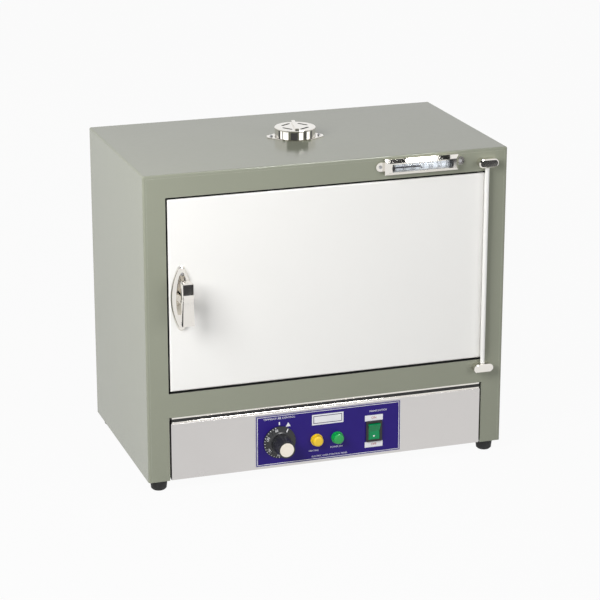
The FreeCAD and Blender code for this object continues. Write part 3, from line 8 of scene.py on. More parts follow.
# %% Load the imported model
import bpy
import bmesh
from math import atan2, cos, hypot, radians, sin
from mathutils import Matrix, Vector


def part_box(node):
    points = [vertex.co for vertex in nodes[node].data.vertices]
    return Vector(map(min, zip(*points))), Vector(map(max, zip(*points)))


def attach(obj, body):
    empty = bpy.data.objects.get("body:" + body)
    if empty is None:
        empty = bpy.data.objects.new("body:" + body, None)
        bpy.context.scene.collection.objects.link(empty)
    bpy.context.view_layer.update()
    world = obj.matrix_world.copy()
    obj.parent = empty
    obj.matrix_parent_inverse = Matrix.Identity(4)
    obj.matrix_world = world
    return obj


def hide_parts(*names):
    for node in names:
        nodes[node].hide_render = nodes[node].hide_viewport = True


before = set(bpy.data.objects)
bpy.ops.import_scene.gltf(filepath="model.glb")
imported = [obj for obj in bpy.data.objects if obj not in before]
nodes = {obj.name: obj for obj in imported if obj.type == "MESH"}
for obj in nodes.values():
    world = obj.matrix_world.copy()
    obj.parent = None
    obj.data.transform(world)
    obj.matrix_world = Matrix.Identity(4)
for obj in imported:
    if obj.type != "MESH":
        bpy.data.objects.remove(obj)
scene = bpy.context.scene
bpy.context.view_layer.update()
MM = 0.001

# %% [markdown]
# ## The camera
#
# The photograph looks down on the front from the left. A turn about the upright axis, a pitch, a
# distance and a lens describe such a view in full, and they are easier to read than a matrix. The
# camera's own axes follow from the turn and the pitch. Lengths are in metres.

# %% Camera
view_turn, view_pitch = radians(-18.561), radians(17.733)
view_distance, view_across, view_up = 3.2181, 0.0031, 0.1954
frame_pixels, lens_pixels, film_width = 600, 2273.4, 36

ahead = cos(view_pitch)
forward = Vector((-sin(view_turn) * ahead, cos(view_turn) * ahead, -sin(view_pitch)))
right = Vector((cos(view_turn), sin(view_turn), 0))
up = right.cross(forward)
camera_data = bpy.data.cameras.new("camera")
camera_data.sensor_width = film_width
camera_data.lens = lens_pixels / frame_pixels * film_width
camera = bpy.data.objects.new("camera", camera_data)
scene.collection.objects.link(camera)
camera.matrix_world = Matrix.Translation(
    right * view_across + up * view_up - forward * view_distance
) @ Matrix((right, up, -forward)).transposed().to_4x4()
scene.camera = camera
print("lens in mm:", round(camera_data.lens, 1))

# %% [markdown]
# ## Small helpers for node trees
#
# Every material below is a chain of a few nodes. One helper adds a node and sets its values, and a
# second one opens a new material with its shader, so the materials themselves stay short to read.

# %% Node helpers
def add(tree, kind, values=None, **settings):
    """Add a node, set its properties, then its input values or links by socket name or number."""
    item = tree.nodes.new(kind)
    for key, value in settings.items():
        setattr(item, key, value)
    for key, value in (values or {}).items():
        if isinstance(value, bpy.types.NodeSocket):
            tree.links.new(value, item.inputs[key])
        else:
            item.inputs[key].default_value = value
    return item


def srgb(red, green, blue):
    """A colour read off the photograph, from 0 to 255, as the shader wants it."""
    def linear(value):
        value /= 255
        return value / 12.92 if value <= 0.04045 else ((value + 0.055) / 1.055) ** 2.4
    return (linear(red), linear(green), linear(blue), 1)


def open_material(name, **values):
    """A new material with its shader's plain values set on the shader's own sockets."""
    material = bpy.data.materials.new(name)
    material.use_nodes = True
    shader = material.node_tree.nodes["Principled BSDF"]
    for key, value in values.items():
        shader.inputs[key.replace("_", " ")].default_value = value
    return material, material.node_tree, shader


def open_group(name, inputs, outputs):
    """A node group with number inputs and named outputs."""
    group = bpy.data.node_groups.new(name, "ShaderNodeTree")
    for label, value in inputs.items():
        kind = "NodeSocketVector" if isinstance(value, tuple) else "NodeSocketFloat"
        group.interface.new_socket(label, in_out="INPUT", socket_type=kind).default_value = value
    for label in outputs:
        group.interface.new_socket(label, in_out="OUTPUT", socket_type="NodeSocketFloat")
    return group, group.nodes.new("NodeGroupInput"), group.nodes.new("NodeGroupOutput")


def use_group(tree, group, **values):
    """Place a group in a material with its own values."""
    item = tree.nodes.new("ShaderNodeGroup")
    item.node_tree = group
    for key, value in values.items():
        item.inputs[key.replace("_", " ")].default_value = value
    return item


def blend(tree, share, first, second):
    """Mix two colours by a share and return the socket of the mix."""
    mix = add(tree, "ShaderNodeMix", {0: share, 6: first, 7: second}, data_type="RGBA")
    return mix.outputs[2]


def drive(tree, shader, colour, smears, bump):
    """Join the three sockets that every textured finish drives."""
    tree.links.new(colour, shader.inputs["Base Color"])
    tree.links.new(smears.outputs["Roughness"], shader.inputs["Roughness"])
    tree.links.new(bump.outputs["Normal"], shader.inputs["Normal"])


def either(tree, rays, kinds):
    """One where a ray is of any of the kinds, by the largest of their Light Path outputs."""
    seen = rays.outputs[kinds[0]]
    for kind in kinds[1:]:
        seen = add(tree, "ShaderNodeMath", {0: seen, 1: rays.outputs[kind]},
                   operation="MAXIMUM").outputs[0]
    return seen


print("helpers ready")

# %% [markdown]
# ## Effects that several finishes share
#
# Sprayed enamel is never quite flat: it has a fine orange-peel skin and a faint cloudiness. Sheet
# steel carries the long lines of its rolling or brushing. All touched surfaces take smears, bends
# are painted paler as wear and as a painted highlight, and dust settles on whatever faces up. Each
# effect is a node group, so that all the finishes use the same one with their own scale.

# %% Enamel skin
skin_group, entry, exit_node = open_group(
    "enamel_skin", {"Peel Scale": 500.0, "Cloud Scale": 9.0}, ("Peel", "Cloud"))
place = add(skin_group, "ShaderNodeTexCoord").outputs["Object"]
peel = add(skin_group, "ShaderNodeTexNoise",
           {"Vector": place, "Scale": entry.outputs["Peel Scale"], "Detail": 1.0, "Roughness": 0.4})
cloud = add(skin_group, "ShaderNodeTexNoise",
            {"Vector": place, "Scale": entry.outputs["Cloud Scale"], "Detail": 3.0,
             "Roughness": 0.55})
skin_group.links.new(peel.outputs["Fac"], exit_node.inputs["Peel"])
skin_group.links.new(cloud.outputs["Fac"], exit_node.inputs["Cloud"])
print("enamel skin:", len(skin_group.nodes), "nodes")

# %% Drawn sheet lines
lines_group, entry, exit_node = open_group(
    "drawn_lines", {"Stretch": (20.0, 2400.0, 2400.0)}, ("Lines", "Haze"))
place = add(lines_group, "ShaderNodeTexCoord").outputs["Object"]
drawn = add(lines_group, "ShaderNodeVectorMath", {0: place, 1: entry.outputs["Stretch"]},
            operation="MULTIPLY")
lines = add(lines_group, "ShaderNodeTexNoise",
            {"Vector": drawn.outputs[0], "Scale": 1.0, "Detail": 3.0, "Roughness": 0.6})
haze = add(lines_group, "ShaderNodeTexNoise", {"Vector": place, "Scale": 14.0, "Detail": 2.0})
lines_group.links.new(lines.outputs["Fac"], exit_node.inputs["Lines"])
lines_group.links.new(haze.outputs["Fac"], exit_node.inputs["Haze"])
print("drawn lines:", len(lines_group.nodes), "nodes")

# %% Smears of handling
smear_group, entry, exit_node = open_group(
    "handling_smears", {"Scale": 40.0, "Low": 0.2, "High": 0.35}, ("Roughness",))
place = add(smear_group, "ShaderNodeTexCoord").outputs["Object"]
blots = add(smear_group, "ShaderNodeTexNoise",
            {"Vector": place, "Scale": entry.outputs["Scale"], "Detail": 5.0, "Roughness": 0.6,
             "Distortion": 0.6})
spread = add(smear_group, "ShaderNodeMapRange",
             {"Value": blots.outputs["Fac"], "From Min": 0.35, "From Max": 0.68,
              "To Min": entry.outputs["Low"], "To Max": entry.outputs["High"]})
smear_group.links.new(spread.outputs[0], exit_node.inputs["Roughness"])
print("smears:", len(smear_group.nodes), "nodes")

# %% Worn bends with painted highlight
wear_and_highlight_group, entry, exit_node = open_group(
    "worn_and_highlit_bends", {"Width": 0.0008, "Patch Scale": 60.0}, ("Edge",))
place = add(wear_and_highlight_group, "ShaderNodeTexCoord").outputs["Object"]
# The finishes paint the bends found here paler: part wear, part painted highlight.
rounded = add(wear_and_highlight_group, "ShaderNodeBevel", {"Radius": entry.outputs["Width"]}, samples=4)
flat = add(wear_and_highlight_group, "ShaderNodeNewGeometry")
same = add(wear_and_highlight_group, "ShaderNodeVectorMath",
           {0: rounded.outputs["Normal"], 1: flat.outputs["Normal"]}, operation="DOT_PRODUCT")
bend = add(wear_and_highlight_group, "ShaderNodeMapRange",
           {"Value": same.outputs["Value"], "From Min": 0.99, "From Max": 0.85})
patches = add(wear_and_highlight_group, "ShaderNodeTexNoise",
              {"Vector": place, "Scale": entry.outputs["Patch Scale"], "Detail": 4.0})
edge = add(wear_and_highlight_group, "ShaderNodeMath", {0: bend.outputs[0], 1: patches.outputs["Fac"]},
           operation="MULTIPLY")
wear_and_highlight_group.links.new(edge.outputs[0], exit_node.inputs["Edge"])
print("worn bends:", len(wear_and_highlight_group.nodes), "nodes")

# %% Settled dust
dust_group, entry, exit_node = open_group(
    "settled_dust", {"Amount": 0.2, "Scale": 120.0}, ("Dust",))
place = add(dust_group, "ShaderNodeTexCoord").outputs["Object"]
facing = add(dust_group, "ShaderNodeSeparateXYZ",
             {0: add(dust_group, "ShaderNodeNewGeometry").outputs["Normal"]})
upward = add(dust_group, "ShaderNodeMapRange",
             {"Value": facing.outputs["Z"], "From Min": 0.5, "From Max": 1.0,
              "To Max": entry.outputs["Amount"]})
grain = add(dust_group, "ShaderNodeTexNoise",
            {"Vector": place, "Scale": entry.outputs["Scale"], "Detail": 5.0})
dust = add(dust_group, "ShaderNodeMath", {0: upward.outputs[0], 1: grain.outputs["Fac"]},
           operation="MULTIPLY")
dust_group.links.new(dust.outputs[0], exit_node.inputs["Dust"])
print("dust:", len(dust_group.nodes), "nodes")

# %% [markdown]
# ## Painted steel
#
# The cabinet is sprayed in a semi-gloss grey-green and the door in white. Both are the same kind of
# finish, so one function makes them from a body colour and a second colour for its cloudiness. The
# bends are painted paler, as thin coat and as a painted highlight, and a little dust lies on top.

# %% Enamel
dust_colour, peel_depth = srgb(196, 192, 184), 0.02 * MM


def enamel(name, colour, cloudy, thin_and_highlit, low, high, dusty):
    """Paint: colours of body, clouds and bends (wear and painted highlight), roughness low to high.
    """
    material, tree, shader = open_material(name, Coat_Weight=0.06, Coat_Roughness=0.06,
                                           Specular_IOR_Level=0.32)
    skin = use_group(tree, skin_group, Peel_Scale=420.0)
    body = blend(tree, skin.outputs["Cloud"], colour, cloudy)
    # The bends are painted paler: part thin coat, part painted highlight.
    worn_and_highlit = blend(tree, use_group(tree, wear_and_highlight_group).outputs["Edge"], body, thin_and_highlit)
    dust = use_group(tree, dust_group, Amount=dusty)
    coated = blend(tree, dust.outputs["Dust"], worn_and_highlit, dust_colour)
    smears = use_group(tree, smear_group, Scale=22.0, Low=low, High=high)
    bump = add(tree, "ShaderNodeBump",
               {"Height": skin.outputs["Peel"], "Distance": peel_depth, "Strength": 0.5})
    drive(tree, shader, coated, smears, bump)
    return material


casing_paint = enamel("casing_paint", srgb(144, 147, 131), srgb(141, 144, 128),
                      srgb(174, 178, 165), 0.14, 0.20, dusty=0.06)
door_white = enamel("door_white", srgb(240, 239, 236), srgb(237, 236, 233),
                    srgb(248, 248, 246), 0.18, 0.26, dusty=0.04)
print("paints:", casing_paint.name, door_white.name)

# %% [markdown]
# ## Bare metals
#
# The panel, the liner and the door's inner sheet are plain stainless with fine rolling lines. The
# handle, the hinge, the vent and the thermometer are polished chrome, which is nearly a mirror, so
# its look comes from its smears and from what it reflects. Zinc plate, copper and the heater's dark
# sheath differ only in colour and roughness.

# %% Metals
def metal(name, colour, hazy, stretch, low, high, groove, smear_scale=30.0):
    """Metal: its two colours, the stretch of its lines, its roughness and a line's depth."""
    material, tree, shader = open_material(name, Metallic=1.0)
    lines = use_group(tree, lines_group, Stretch=stretch)
    body = blend(tree, lines.outputs["Haze"], colour, hazy)
    smears = use_group(tree, smear_group, Scale=smear_scale, Low=low, High=high)
    bump = add(tree, "ShaderNodeBump",
               {"Height": lines.outputs["Lines"], "Distance": groove, "Strength": 0.4})
    drive(tree, shader, body, smears, bump)
    return material


along_x, along_z = (25.0, 2200.0, 2200.0), (2200.0, 2200.0, 25.0)
rolled, fine, mirror = 0.01 * MM, 0.004 * MM, 0.0005 * MM
stainless = metal("stainless_sheet", srgb(212, 209, 207), srgb(208, 205, 203), along_x,
                  0.27, 0.31, rolled, smear_scale=9.0)
plated = metal("plated_sheet", srgb(190, 191, 188), srgb(172, 174, 172), along_x,
               0.34, 0.50, rolled)
chrome = metal("bright_chrome", srgb(236, 233, 227), srgb(227, 223, 216), along_z,
               0.03, 0.07, mirror)
screw_steel = metal("screw_steel", srgb(205, 205, 206), srgb(190, 190, 192), along_z,
                    0.16, 0.30, fine)
copper = metal("copper_tube", srgb(205, 128, 92), srgb(166, 98, 70), along_x, 0.25, 0.42, fine)
sheath = metal("heater_sheath", srgb(92, 88, 84), srgb(66, 62, 60), along_x, 0.42, 0.60, rolled)
print("metals: 6")

# %% [markdown]
# ## Plastics, rubber, wool and glass
#
# The knob is moulded phenolic with a soft shine, the other black parts are satin thermoplastic.
# The lamp lenses are clear-coloured plastic, so some light passes through them, and the rocker is
# solid green. The feet are black rubber, the door's seal is red silicone, and the wool behind the
# liner is coarse and yellow.

# %% Moulded and soft stuff
def paler(colour):
    """The colour of a rubbed edge, which also serves as a painted highlight."""
    return tuple(min(1, value * 1.3 + 0.02) for value in colour[:3]) + (1,)


def moulded(name, colour, other, low, high, scale, depth, **extra):
    """Plastic, print, wool and the black and red rubbers: colours, roughness, and its grain's scale
    and depth in mm.
    """
    material, tree, shader = open_material(name, **extra)
    skin = use_group(tree, skin_group, Peel_Scale=scale, Cloud_Scale=scale / 12)
    body = blend(tree, skin.outputs["Cloud"], colour, other)
    # Edges are painted paler: part rubbed wear, part painted highlight.
    wear_and_highlight = use_group(tree, wear_and_highlight_group, Width=0.4 * MM, Patch_Scale=300.0)
    worn_and_highlit = blend(tree, wear_and_highlight.outputs["Edge"], body, paler(colour))
    smears = use_group(tree, smear_group, Scale=scale / 8, Low=low, High=high)
    bump = add(tree, "ShaderNodeBump",
               {"Height": skin.outputs["Peel"], "Distance": depth * MM, "Strength": 0.5})
    drive(tree, shader, worn_and_highlit, smears, bump)
    return material


knob_black = moulded("knob_black", srgb(30, 31, 33), srgb(38, 39, 41), 0.26, 0.42, 900.0, 0.01)
black_plastic = moulded("black_plastic", srgb(26, 26, 27), srgb(34, 34, 35), 0.34, 0.48,
                        1200.0, 0.02)
disc_cream = moulded("disc_cream", srgb(247, 239, 227), srgb(240, 231, 217), 0.22, 0.36,
                     700.0, 0.01)
terminal_cream = moulded("terminal_cream", srgb(226, 214, 186), srgb(214, 200, 170), 0.4, 0.5,
                         900.0, 0.02)
label_blue = moulded("label_blue", srgb(40, 22, 118), srgb(36, 19, 110), 0.34, 0.40,
                     800.0, 0.004, Specular_IOR_Level=0.25)
scale_white = moulded("scale_white", srgb(232, 236, 246), srgb(224, 229, 240), 0.35, 0.5,
                      900.0, 0.01)
foot_rubber = moulded("foot_rubber", srgb(30, 30, 30), srgb(40, 40, 39), 0.6, 0.75, 1300.0, 0.05)
seal_rubber = moulded("seal_rubber", srgb(152, 62, 44), srgb(138, 54, 38), 0.6, 0.75,
                      1100.0, 0.05)
mineral_wool = moulded("mineral_wool", srgb(206, 188, 122), srgb(176, 156, 92), 0.8, 0.95,
                       700.0, 0.9)
lens_plastic = {"Transmission_Weight": 0.15, "IOR": 1.49, "Coat_Weight": 0.4}
lens_amber = moulded("lens_amber", srgb(255, 219, 38), srgb(255, 206, 26), 0.10, 0.18,
                     900.0, 0.005, **lens_plastic)
lens_green = moulded("lens_green", srgb(2, 176, 80), srgb(1, 162, 70), 0.10, 0.18,
                     900.0, 0.005, **lens_plastic)
rocker_green = moulded("rocker_green", srgb(2, 146, 88), srgb(1, 132, 78), 0.16, 0.26,
                       900.0, 0.008, Specular_IOR_Level=0.3, Coat_Weight=0.05)
print("moulded finishes: 12")

# %% Clear glass
clear_glass, tree, shader = open_material("clear_glass", Base_Color=(0.97, 0.985, 0.98, 1),
                                          Transmission_Weight=1.0, IOR=1.47)
smears = use_group(tree, smear_group, Scale=90.0, Low=0.01, High=0.05)
tree.links.new(smears.outputs["Roughness"], shader.inputs["Roughness"])
print("glass:", clear_glass.name)

# %% [markdown]
# ## Give every solid its finish
#
# The record names a material slot for each node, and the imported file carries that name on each
# mesh. Looking the finish up by that name dresses all the solids in one loop. The tube of the hinge
# is painted over with the door.

# %% Dress the solids
finishes = {
    "casing_paint": casing_paint, "door_white": door_white, "stainless_sheet": stainless,
    "plated_sheet": plated, "bright_chrome": chrome, "screw_steel": screw_steel,
    "foot_rubber": foot_rubber, "seal_rubber": seal_rubber, "mineral_wool": mineral_wool,
    "knob_black": knob_black, "disc_cream": disc_cream, "label_blue": label_blue,
    "lens_amber": lens_amber, "lens_green": lens_green, "rocker_green": rocker_green,
    "black_plastic": black_plastic, "clear_glass": clear_glass, "scale_white": scale_white,
    "terminal_cream": terminal_cream, "copper_tube": copper, "heater_sheath": sheath,
}
for name, item in nodes.items():
    for holder in item.material_slots:
        holder.material = finishes[holder.material.name.split(".")[0]]
for holder in nodes["hinge_tube"].material_slots:
    holder.material = door_white
print("dressed:", len(nodes))

# %% [markdown]
# ## Helpers for the added pieces
#
# Each added piece starts as a bmesh in its own flat workplace, with its face towards +Z. It is then
# turned and moved as a mesh, so that its object stays at the origin, and it rides on the body that
# carries the real piece.

# %% Piece helpers
def place_shape(shape, spot, facing, spin=0.0):
    """Turn a bmesh made face-up so that it faces a direction, and move it to its spot."""
    if facing[1]:  # towards the front or the back, where print has to stay upright
        turn = Matrix.Rotation(radians(-90 * facing[1]), 4, "X")
    else:
        turn = Vector(facing).to_track_quat("Z", "Y").to_matrix().to_4x4()
    spun = Matrix.Rotation(spin, 4, "Z")
    bmesh.ops.transform(shape, matrix=Matrix.Translation(spot) @ turn @ spun, verts=shape.verts)


def join_shapes(shapes):
    """Gather several bmeshes into one."""
    whole = bmesh.new()
    for shape in shapes:
        part = bpy.data.meshes.new("part")
        shape.to_mesh(part)
        shape.free()
        whole.from_mesh(part)
        bpy.data.meshes.remove(part)
    return whole


def make_piece(name, shape, material, body, smooth=0.0):
    """Turn a bmesh into an object that rides on a body; smooth is the sharp-edge angle."""
    mesh = bpy.data.meshes.new(name)
    shape.to_mesh(mesh)
    shape.free()
    mesh.materials.append(material)
    if smooth:
        mesh.shade_smooth()
        mesh.set_sharp_from_angle(angle=smooth)
    item = bpy.data.objects.new(name, mesh)
    scene.collection.objects.link(item)
    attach(item, body)
    return item


def flat_face(left, low, right, high):
    """One flat rectangle between two corners."""
    shape = bmesh.new()
    bmesh.ops.create_grid(shape, x_segments=1, y_segments=1, size=0.5)
    bmesh.ops.scale(shape, vec=(right - left, high - low, 1), verts=shape.verts)
    bmesh.ops.translate(shape, vec=((left + right) / 2, (low + high) / 2, 0), verts=shape.verts)
    return shape


def grow(shape, rise):
    """Thicken flat faces upwards into a closed film."""
    flat = shape.faces[:] + shape.edges[:] + shape.verts[:]
    grown = bmesh.ops.extrude_face_region(shape, geom=flat, use_keep_orig=True)
    bmesh.ops.translate(shape, vec=(0, 0, rise),
                        verts=[v for v in grown["geom"] if isinstance(v, bmesh.types.BMVert)])
    bmesh.ops.recalc_face_normals(shape, faces=shape.faces)


print("piece helpers ready")

# %% [markdown]
# ## Cross-headed screws
#
# The solids carry plain pan heads. A real one has a cross sunk in its crown, which catches the
# light even at a few pixels. A 3 by 3 grid without its corners is a cross already: its outline is
# bridged to a ring, the ring is drawn out and down into the head, and the cross is inset and sunk.

# %% One pan head
def cross_head(width, rise):
    """A pan head with its seat at nought; its sizes are shares of its width."""
    shape = bmesh.new()
    grid = bmesh.ops.create_grid(shape, x_segments=3, y_segments=3, size=1.0)
    arm, reach = width * 0.055, width * 0.27
    for vert in grid["verts"]:
        for axis in (0, 1):
            size = reach if abs(vert.co[axis]) > 0.5 else arm
            vert.co[axis] = size if vert.co[axis] > 0 else -size
    middles = [(face, face.calc_center_median()) for face in shape.faces]
    corners = [face for face, middle in middles if min(abs(middle.x), abs(middle.y)) > arm]
    bmesh.ops.delete(shape, geom=corners, context="FACES")
    cross = list(shape.faces)
    inner = [e for e in shape.edges if e.is_boundary]
    ring = bmesh.ops.create_circle(shape, segments=24, radius=width * 0.36)
    outer = list({e for v in ring["verts"] for e in v.link_edges})
    bmesh.ops.bridge_loops(shape, edges=inner + outer)
    for share, drop in ((0.46, 0.18), (0.5, 0.5), (0.5, 1.0)):
        drawn = bmesh.ops.extrude_edge_only(shape, edges=outer)["geom"]
        outer = [e for e in drawn if isinstance(e, bmesh.types.BMEdge)]
        for vert in [v for v in drawn if isinstance(v, bmesh.types.BMVert)]:
            flat = Vector((vert.co.x, vert.co.y, 0)).normalized() * width * share
            vert.co = (flat.x, flat.y, -rise * drop)
    bmesh.ops.holes_fill(shape, edges=outer, sides=0)
    bmesh.ops.recalc_face_normals(shape, faces=shape.faces)
    bmesh.ops.inset_region(shape, faces=cross, thickness=width * 0.02, depth=-rise * 0.45)
    bmesh.ops.translate(shape, verts=shape.verts, vec=(0, 0, rise))
    return shape


def cross_screws(node, spots, facing, width, rise, body):
    """Heads at their seats, each turned differently, in place of the plain ones."""
    shapes = []
    for number, spot in enumerate(spots):
        shape = cross_head(width, rise)
        place_shape(shape, spot, facing, spin=0.6 + 1.1 * number)
        shapes.append(shape)
    item = make_piece(node + "_heads", join_shapes(shapes), screw_steel, body, smooth=radians(35))
    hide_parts(node)
    print(item.name, len(spots), "screws")


# %% Seats of the screws
small_width, small_rise = 4.6 * MM, 1.5 * MM
pan_width, pan_rise = 7.0 * MM, 2.4 * MM
rear_middle_row = 225 * MM


def ends(low, high, width):
    """The two outermost seats along one axis of a box that holds heads of a width."""
    return low + width / 2, high - width / 2


low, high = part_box("handle_screws")
middle = (low.x + high.x) / 2
cross_screws("handle_screws", [(middle, low.y + small_rise, z)
                               for z in ends(low.z, high.z, small_width)],
             (0, -1, 0), small_width, small_rise, "door")
low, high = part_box("thermometer_screws")
middle = (low.z + high.z) / 2
cross_screws("thermometer_screws", [(x, low.y + small_rise, middle)
                                    for x in ends(low.x, high.x, small_width)],
             (0, -1, 0), small_width, small_rise, "cabinet")
low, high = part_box("vent_screws")
columns, rows = ends(low.x, high.x, small_width), ends(low.y, high.y, small_width)
cross_screws("vent_screws", [(x, y, high.z - small_rise) for x, y in zip(columns, rows[::-1])],
             (0, 0, 1), small_width, small_rise, "cabinet")
low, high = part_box("rear_screws")  # the middle column has only its top screw
left, right_end = ends(low.x, high.x, pan_width)
bottom, top = ends(low.z, high.z, pan_width)
cross_screws("rear_screws", [(x, high.y - pan_rise, z) for x in (left, 0, right_end)
                             for z in (bottom, rear_middle_row, top) if x or z == top],
             (0, 1, 0), pan_width, pan_rise, "cabinet")
low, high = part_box("foot_screws")
cross_screws("foot_screws", [(x, y, low.z + pan_rise) for x in ends(low.x, high.x, pan_width)
                             for y in ends(low.y, high.y, pan_width)],
             (0, 0, -1), pan_width, pan_rise, "cabinet")

# %% [markdown]
# ## The label's print
#
# The blue label is screen printed in white: a thin line round its edge, a bordered blank panel, two
# tags at the switch, a pointer over the knob and short captions. Each form is a flat shape with a
# hair of thickness that lies on the label. A frame is one face, inset by the width of its line,
# with the middle taken out.

# %% Print helpers
film, capital_share = 0.05 * MM, 0.7
label_low, label_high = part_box("label_plate")
label_front = label_low.y
print_white = moulded("print_white", srgb(238, 238, 240), srgb(228, 228, 232), 0.35, 0.5,
                      900.0, 0.004)
print_red = moulded("print_red", srgb(170, 52, 60), srgb(158, 44, 52), 0.35, 0.5, 900.0, 0.004)
print_dark = moulded("print_dark", srgb(40, 30, 84), srgb(34, 26, 76), 0.35, 0.5, 900.0, 0.004)


def patch(left, low, right, high, corner=0.0, rise=film):
    """A filled rectangle, with rounded corners where a size is given."""
    shape = flat_face(left, low, right, high)
    if corner:
        bmesh.ops.bevel(shape, geom=shape.verts[:], offset=corner, segments=4, affect="VERTICES",
                        profile=0.5, material=-1)
    grow(shape, rise)
    return shape


def line_frame(left, low, right, high, line, rise=film):
    """A frame drawn with a line of the given width."""
    shape = flat_face(left, low, right, high)
    middle = shape.faces[:]
    bmesh.ops.inset_region(shape, faces=middle, thickness=line, depth=0, use_boundary=True,
                           use_even_offset=True)
    bmesh.ops.delete(shape, geom=middle, context="FACES_ONLY")
    grow(shape, rise)
    return shape


def disc(radius, segments):
    """A filled circle; with three segments it is a triangle that points up."""
    shape = bmesh.new()
    bmesh.ops.create_circle(shape, cap_ends=True, segments=segments, radius=radius)
    return shape


def words(text, across, rise, height):
    """A word centred on a spot; its capitals have the given height."""
    letters = bpy.data.curves.new("letters", "FONT")
    letters.body, letters.size = text, height / capital_share
    letters.align_x, letters.align_y = "CENTER", "CENTER"
    letters.extrude, letters.resolution_u = film / 2, 3
    holder = bpy.data.objects.new("letters", letters)
    mesh = bpy.data.meshes.new_from_object(holder)
    shape = bmesh.new()
    shape.from_mesh(mesh)
    bmesh.ops.translate(shape, vec=(across, rise, film / 2), verts=shape.verts)
    bpy.data.objects.remove(holder)
    bpy.data.meshes.remove(mesh)
    bpy.data.curves.remove(letters)
    return shape


def print_on_label(name, shapes, material, lift=0):
    """Lay shapes on the label, lifted by a number of films."""
    whole = join_shapes(shapes)
    place_shape(whole, (0, label_front - lift * film, 0), (0, -1, 0))
    item = make_piece(name, whole, material, "cabinet")
    print(name, len(item.data.polygons), "faces")


print("print helpers ready")

# %% Lines, tags and pointer
cad_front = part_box("front_frame")[0].y
knob_low, knob_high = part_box("thermostat_knob")
knob_x, knob_z = (knob_low.x + knob_high.x) / 2, (knob_low.z + knob_high.z) / 2
switch_low, switch_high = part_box("switch_housing")
switch_x = (switch_low.x + switch_high.x) / 2
amber_x = sum(v.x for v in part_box("amber_lamp_lens")) / 2
green_x = sum(v.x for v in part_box("green_lamp_lens")) / 2
lamp_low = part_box("green_lamp_lens")[0].z
edge, thick_line, thin_line = 1.8 * MM, 0.7 * MM, 0.35 * MM
tag_half, tag_height, tag_gap, tag_round = 13 * MM, 8.2 * MM, 0.3 * MM, 0.6 * MM
tag_foot, tag_head = switch_high.z + tag_gap, switch_low.z - tag_gap
panel_left, panel_right, panel_low, panel_high = -24 * MM, 21 * MM, 69.6 * MM, 84.6 * MM
panel_edge, panel_line = 2 * MM, 0.9 * MM
pointer_size, pointer_across, pointer_rise = 4.1 * MM, 12.5 * MM, 22.6 * MM
mark_half, mark_foot, mark_top = 0.9 * MM, 24 * MM, 28.2 * MM
pointer = disc(pointer_size, 3)
bmesh.ops.translate(pointer, vec=(knob_x + pointer_across, knob_z + pointer_rise, 0),
                    verts=pointer.verts)
grow(pointer, film)
print_on_label("label_lines", [
    line_frame(label_low.x + edge, label_low.z + edge, label_high.x - edge, label_high.z - edge,
               thick_line),
    line_frame(label_low.x, label_low.z, label_high.x, label_high.z, thin_line),
    patch(panel_left, panel_low, panel_right, panel_high),
    patch(switch_x - tag_half, tag_foot, switch_x + tag_half, tag_foot + tag_height, tag_round),
    patch(switch_x - tag_half, tag_head - tag_height, switch_x + tag_half, tag_head, tag_round),
    pointer,
    patch(knob_x - mark_half, knob_z + mark_foot, knob_x + mark_half, knob_z + mark_top),
], print_white)
print_on_label("label_panel_line", [
    line_frame(panel_left + panel_edge, panel_low + panel_edge, panel_right - panel_edge,
               panel_high - panel_edge, panel_line),
], print_dark, lift=1)

# %% Captions
lamp_middle = (amber_x + green_x) / 2
print_on_label("label_captions", [
    words("TEMPERATURE CONTROL", knob_x, knob_z + 33.6 * MM, 2.7 * MM),
    words("MAINS SWITCH", switch_x + 6 * MM, switch_high.z + 14.2 * MM, 2.5 * MM),
    words("HEATING", amber_x - 4 * MM, lamp_low - 7 * MM, 2.3 * MM),
    words("POWER ON", green_x - 1 * MM, lamp_low - 5 * MM, 2.3 * MM),
    words("ELECTRIC OVEN CONTROL PANEL", lamp_middle + 4 * MM, label_low.z + 5.6 * MM, 2.3 * MM),
], print_white)
print_on_label("label_switch_words", [
    words("ON", switch_x, tag_foot + tag_height / 2, 3.2 * MM),
    words("OFF", switch_x, tag_head - tag_height / 2, 3.2 * MM),
], print_red, lift=1)

# %% [markdown]
# ## The dial round the knob's skirt
#
# The figures and ticks lie on the sloping skirt, so they are made flat, set round the axis, and
# then each vertex is lifted by the height of the cone under it. They ride on the knob and turn with
# it.

# %% Dial figures and ticks
skirt_rim, skirt_root = 22.5 * MM, 15.1 * MM
rim_rise, root_rise = 1.9 * MM, 4.3 * MM
first_turn, step_turn, start_turn = radians(16), radians(54), radians(-33)
figure_count, figure_radius, figure_height = 5, 17.8 * MM, 3.1 * MM
tick_count, tick_foot, tick_top = 21, 20.6 * MM, 22.1 * MM
long_half, short_half = 0.45 * MM, 0.28 * MM
start_half, start_foot, start_top = 0.7 * MM, 16.6 * MM, 21.4 * MM
marks = []


def set_on_skirt(shape, turn):
    """Turn a flat mark about the knob's axis and lay it on the cone."""
    bmesh.ops.rotate(shape, verts=shape.verts, cent=(0, 0, 0),
                     matrix=Matrix.Rotation(turn, 3, "Z"))
    for vert in shape.verts:
        share = (skirt_rim - hypot(vert.co.x, vert.co.y)) / (skirt_rim - skirt_root)
        vert.co.z += rim_rise + (root_rise - rim_rise) * share
    marks.append(shape)


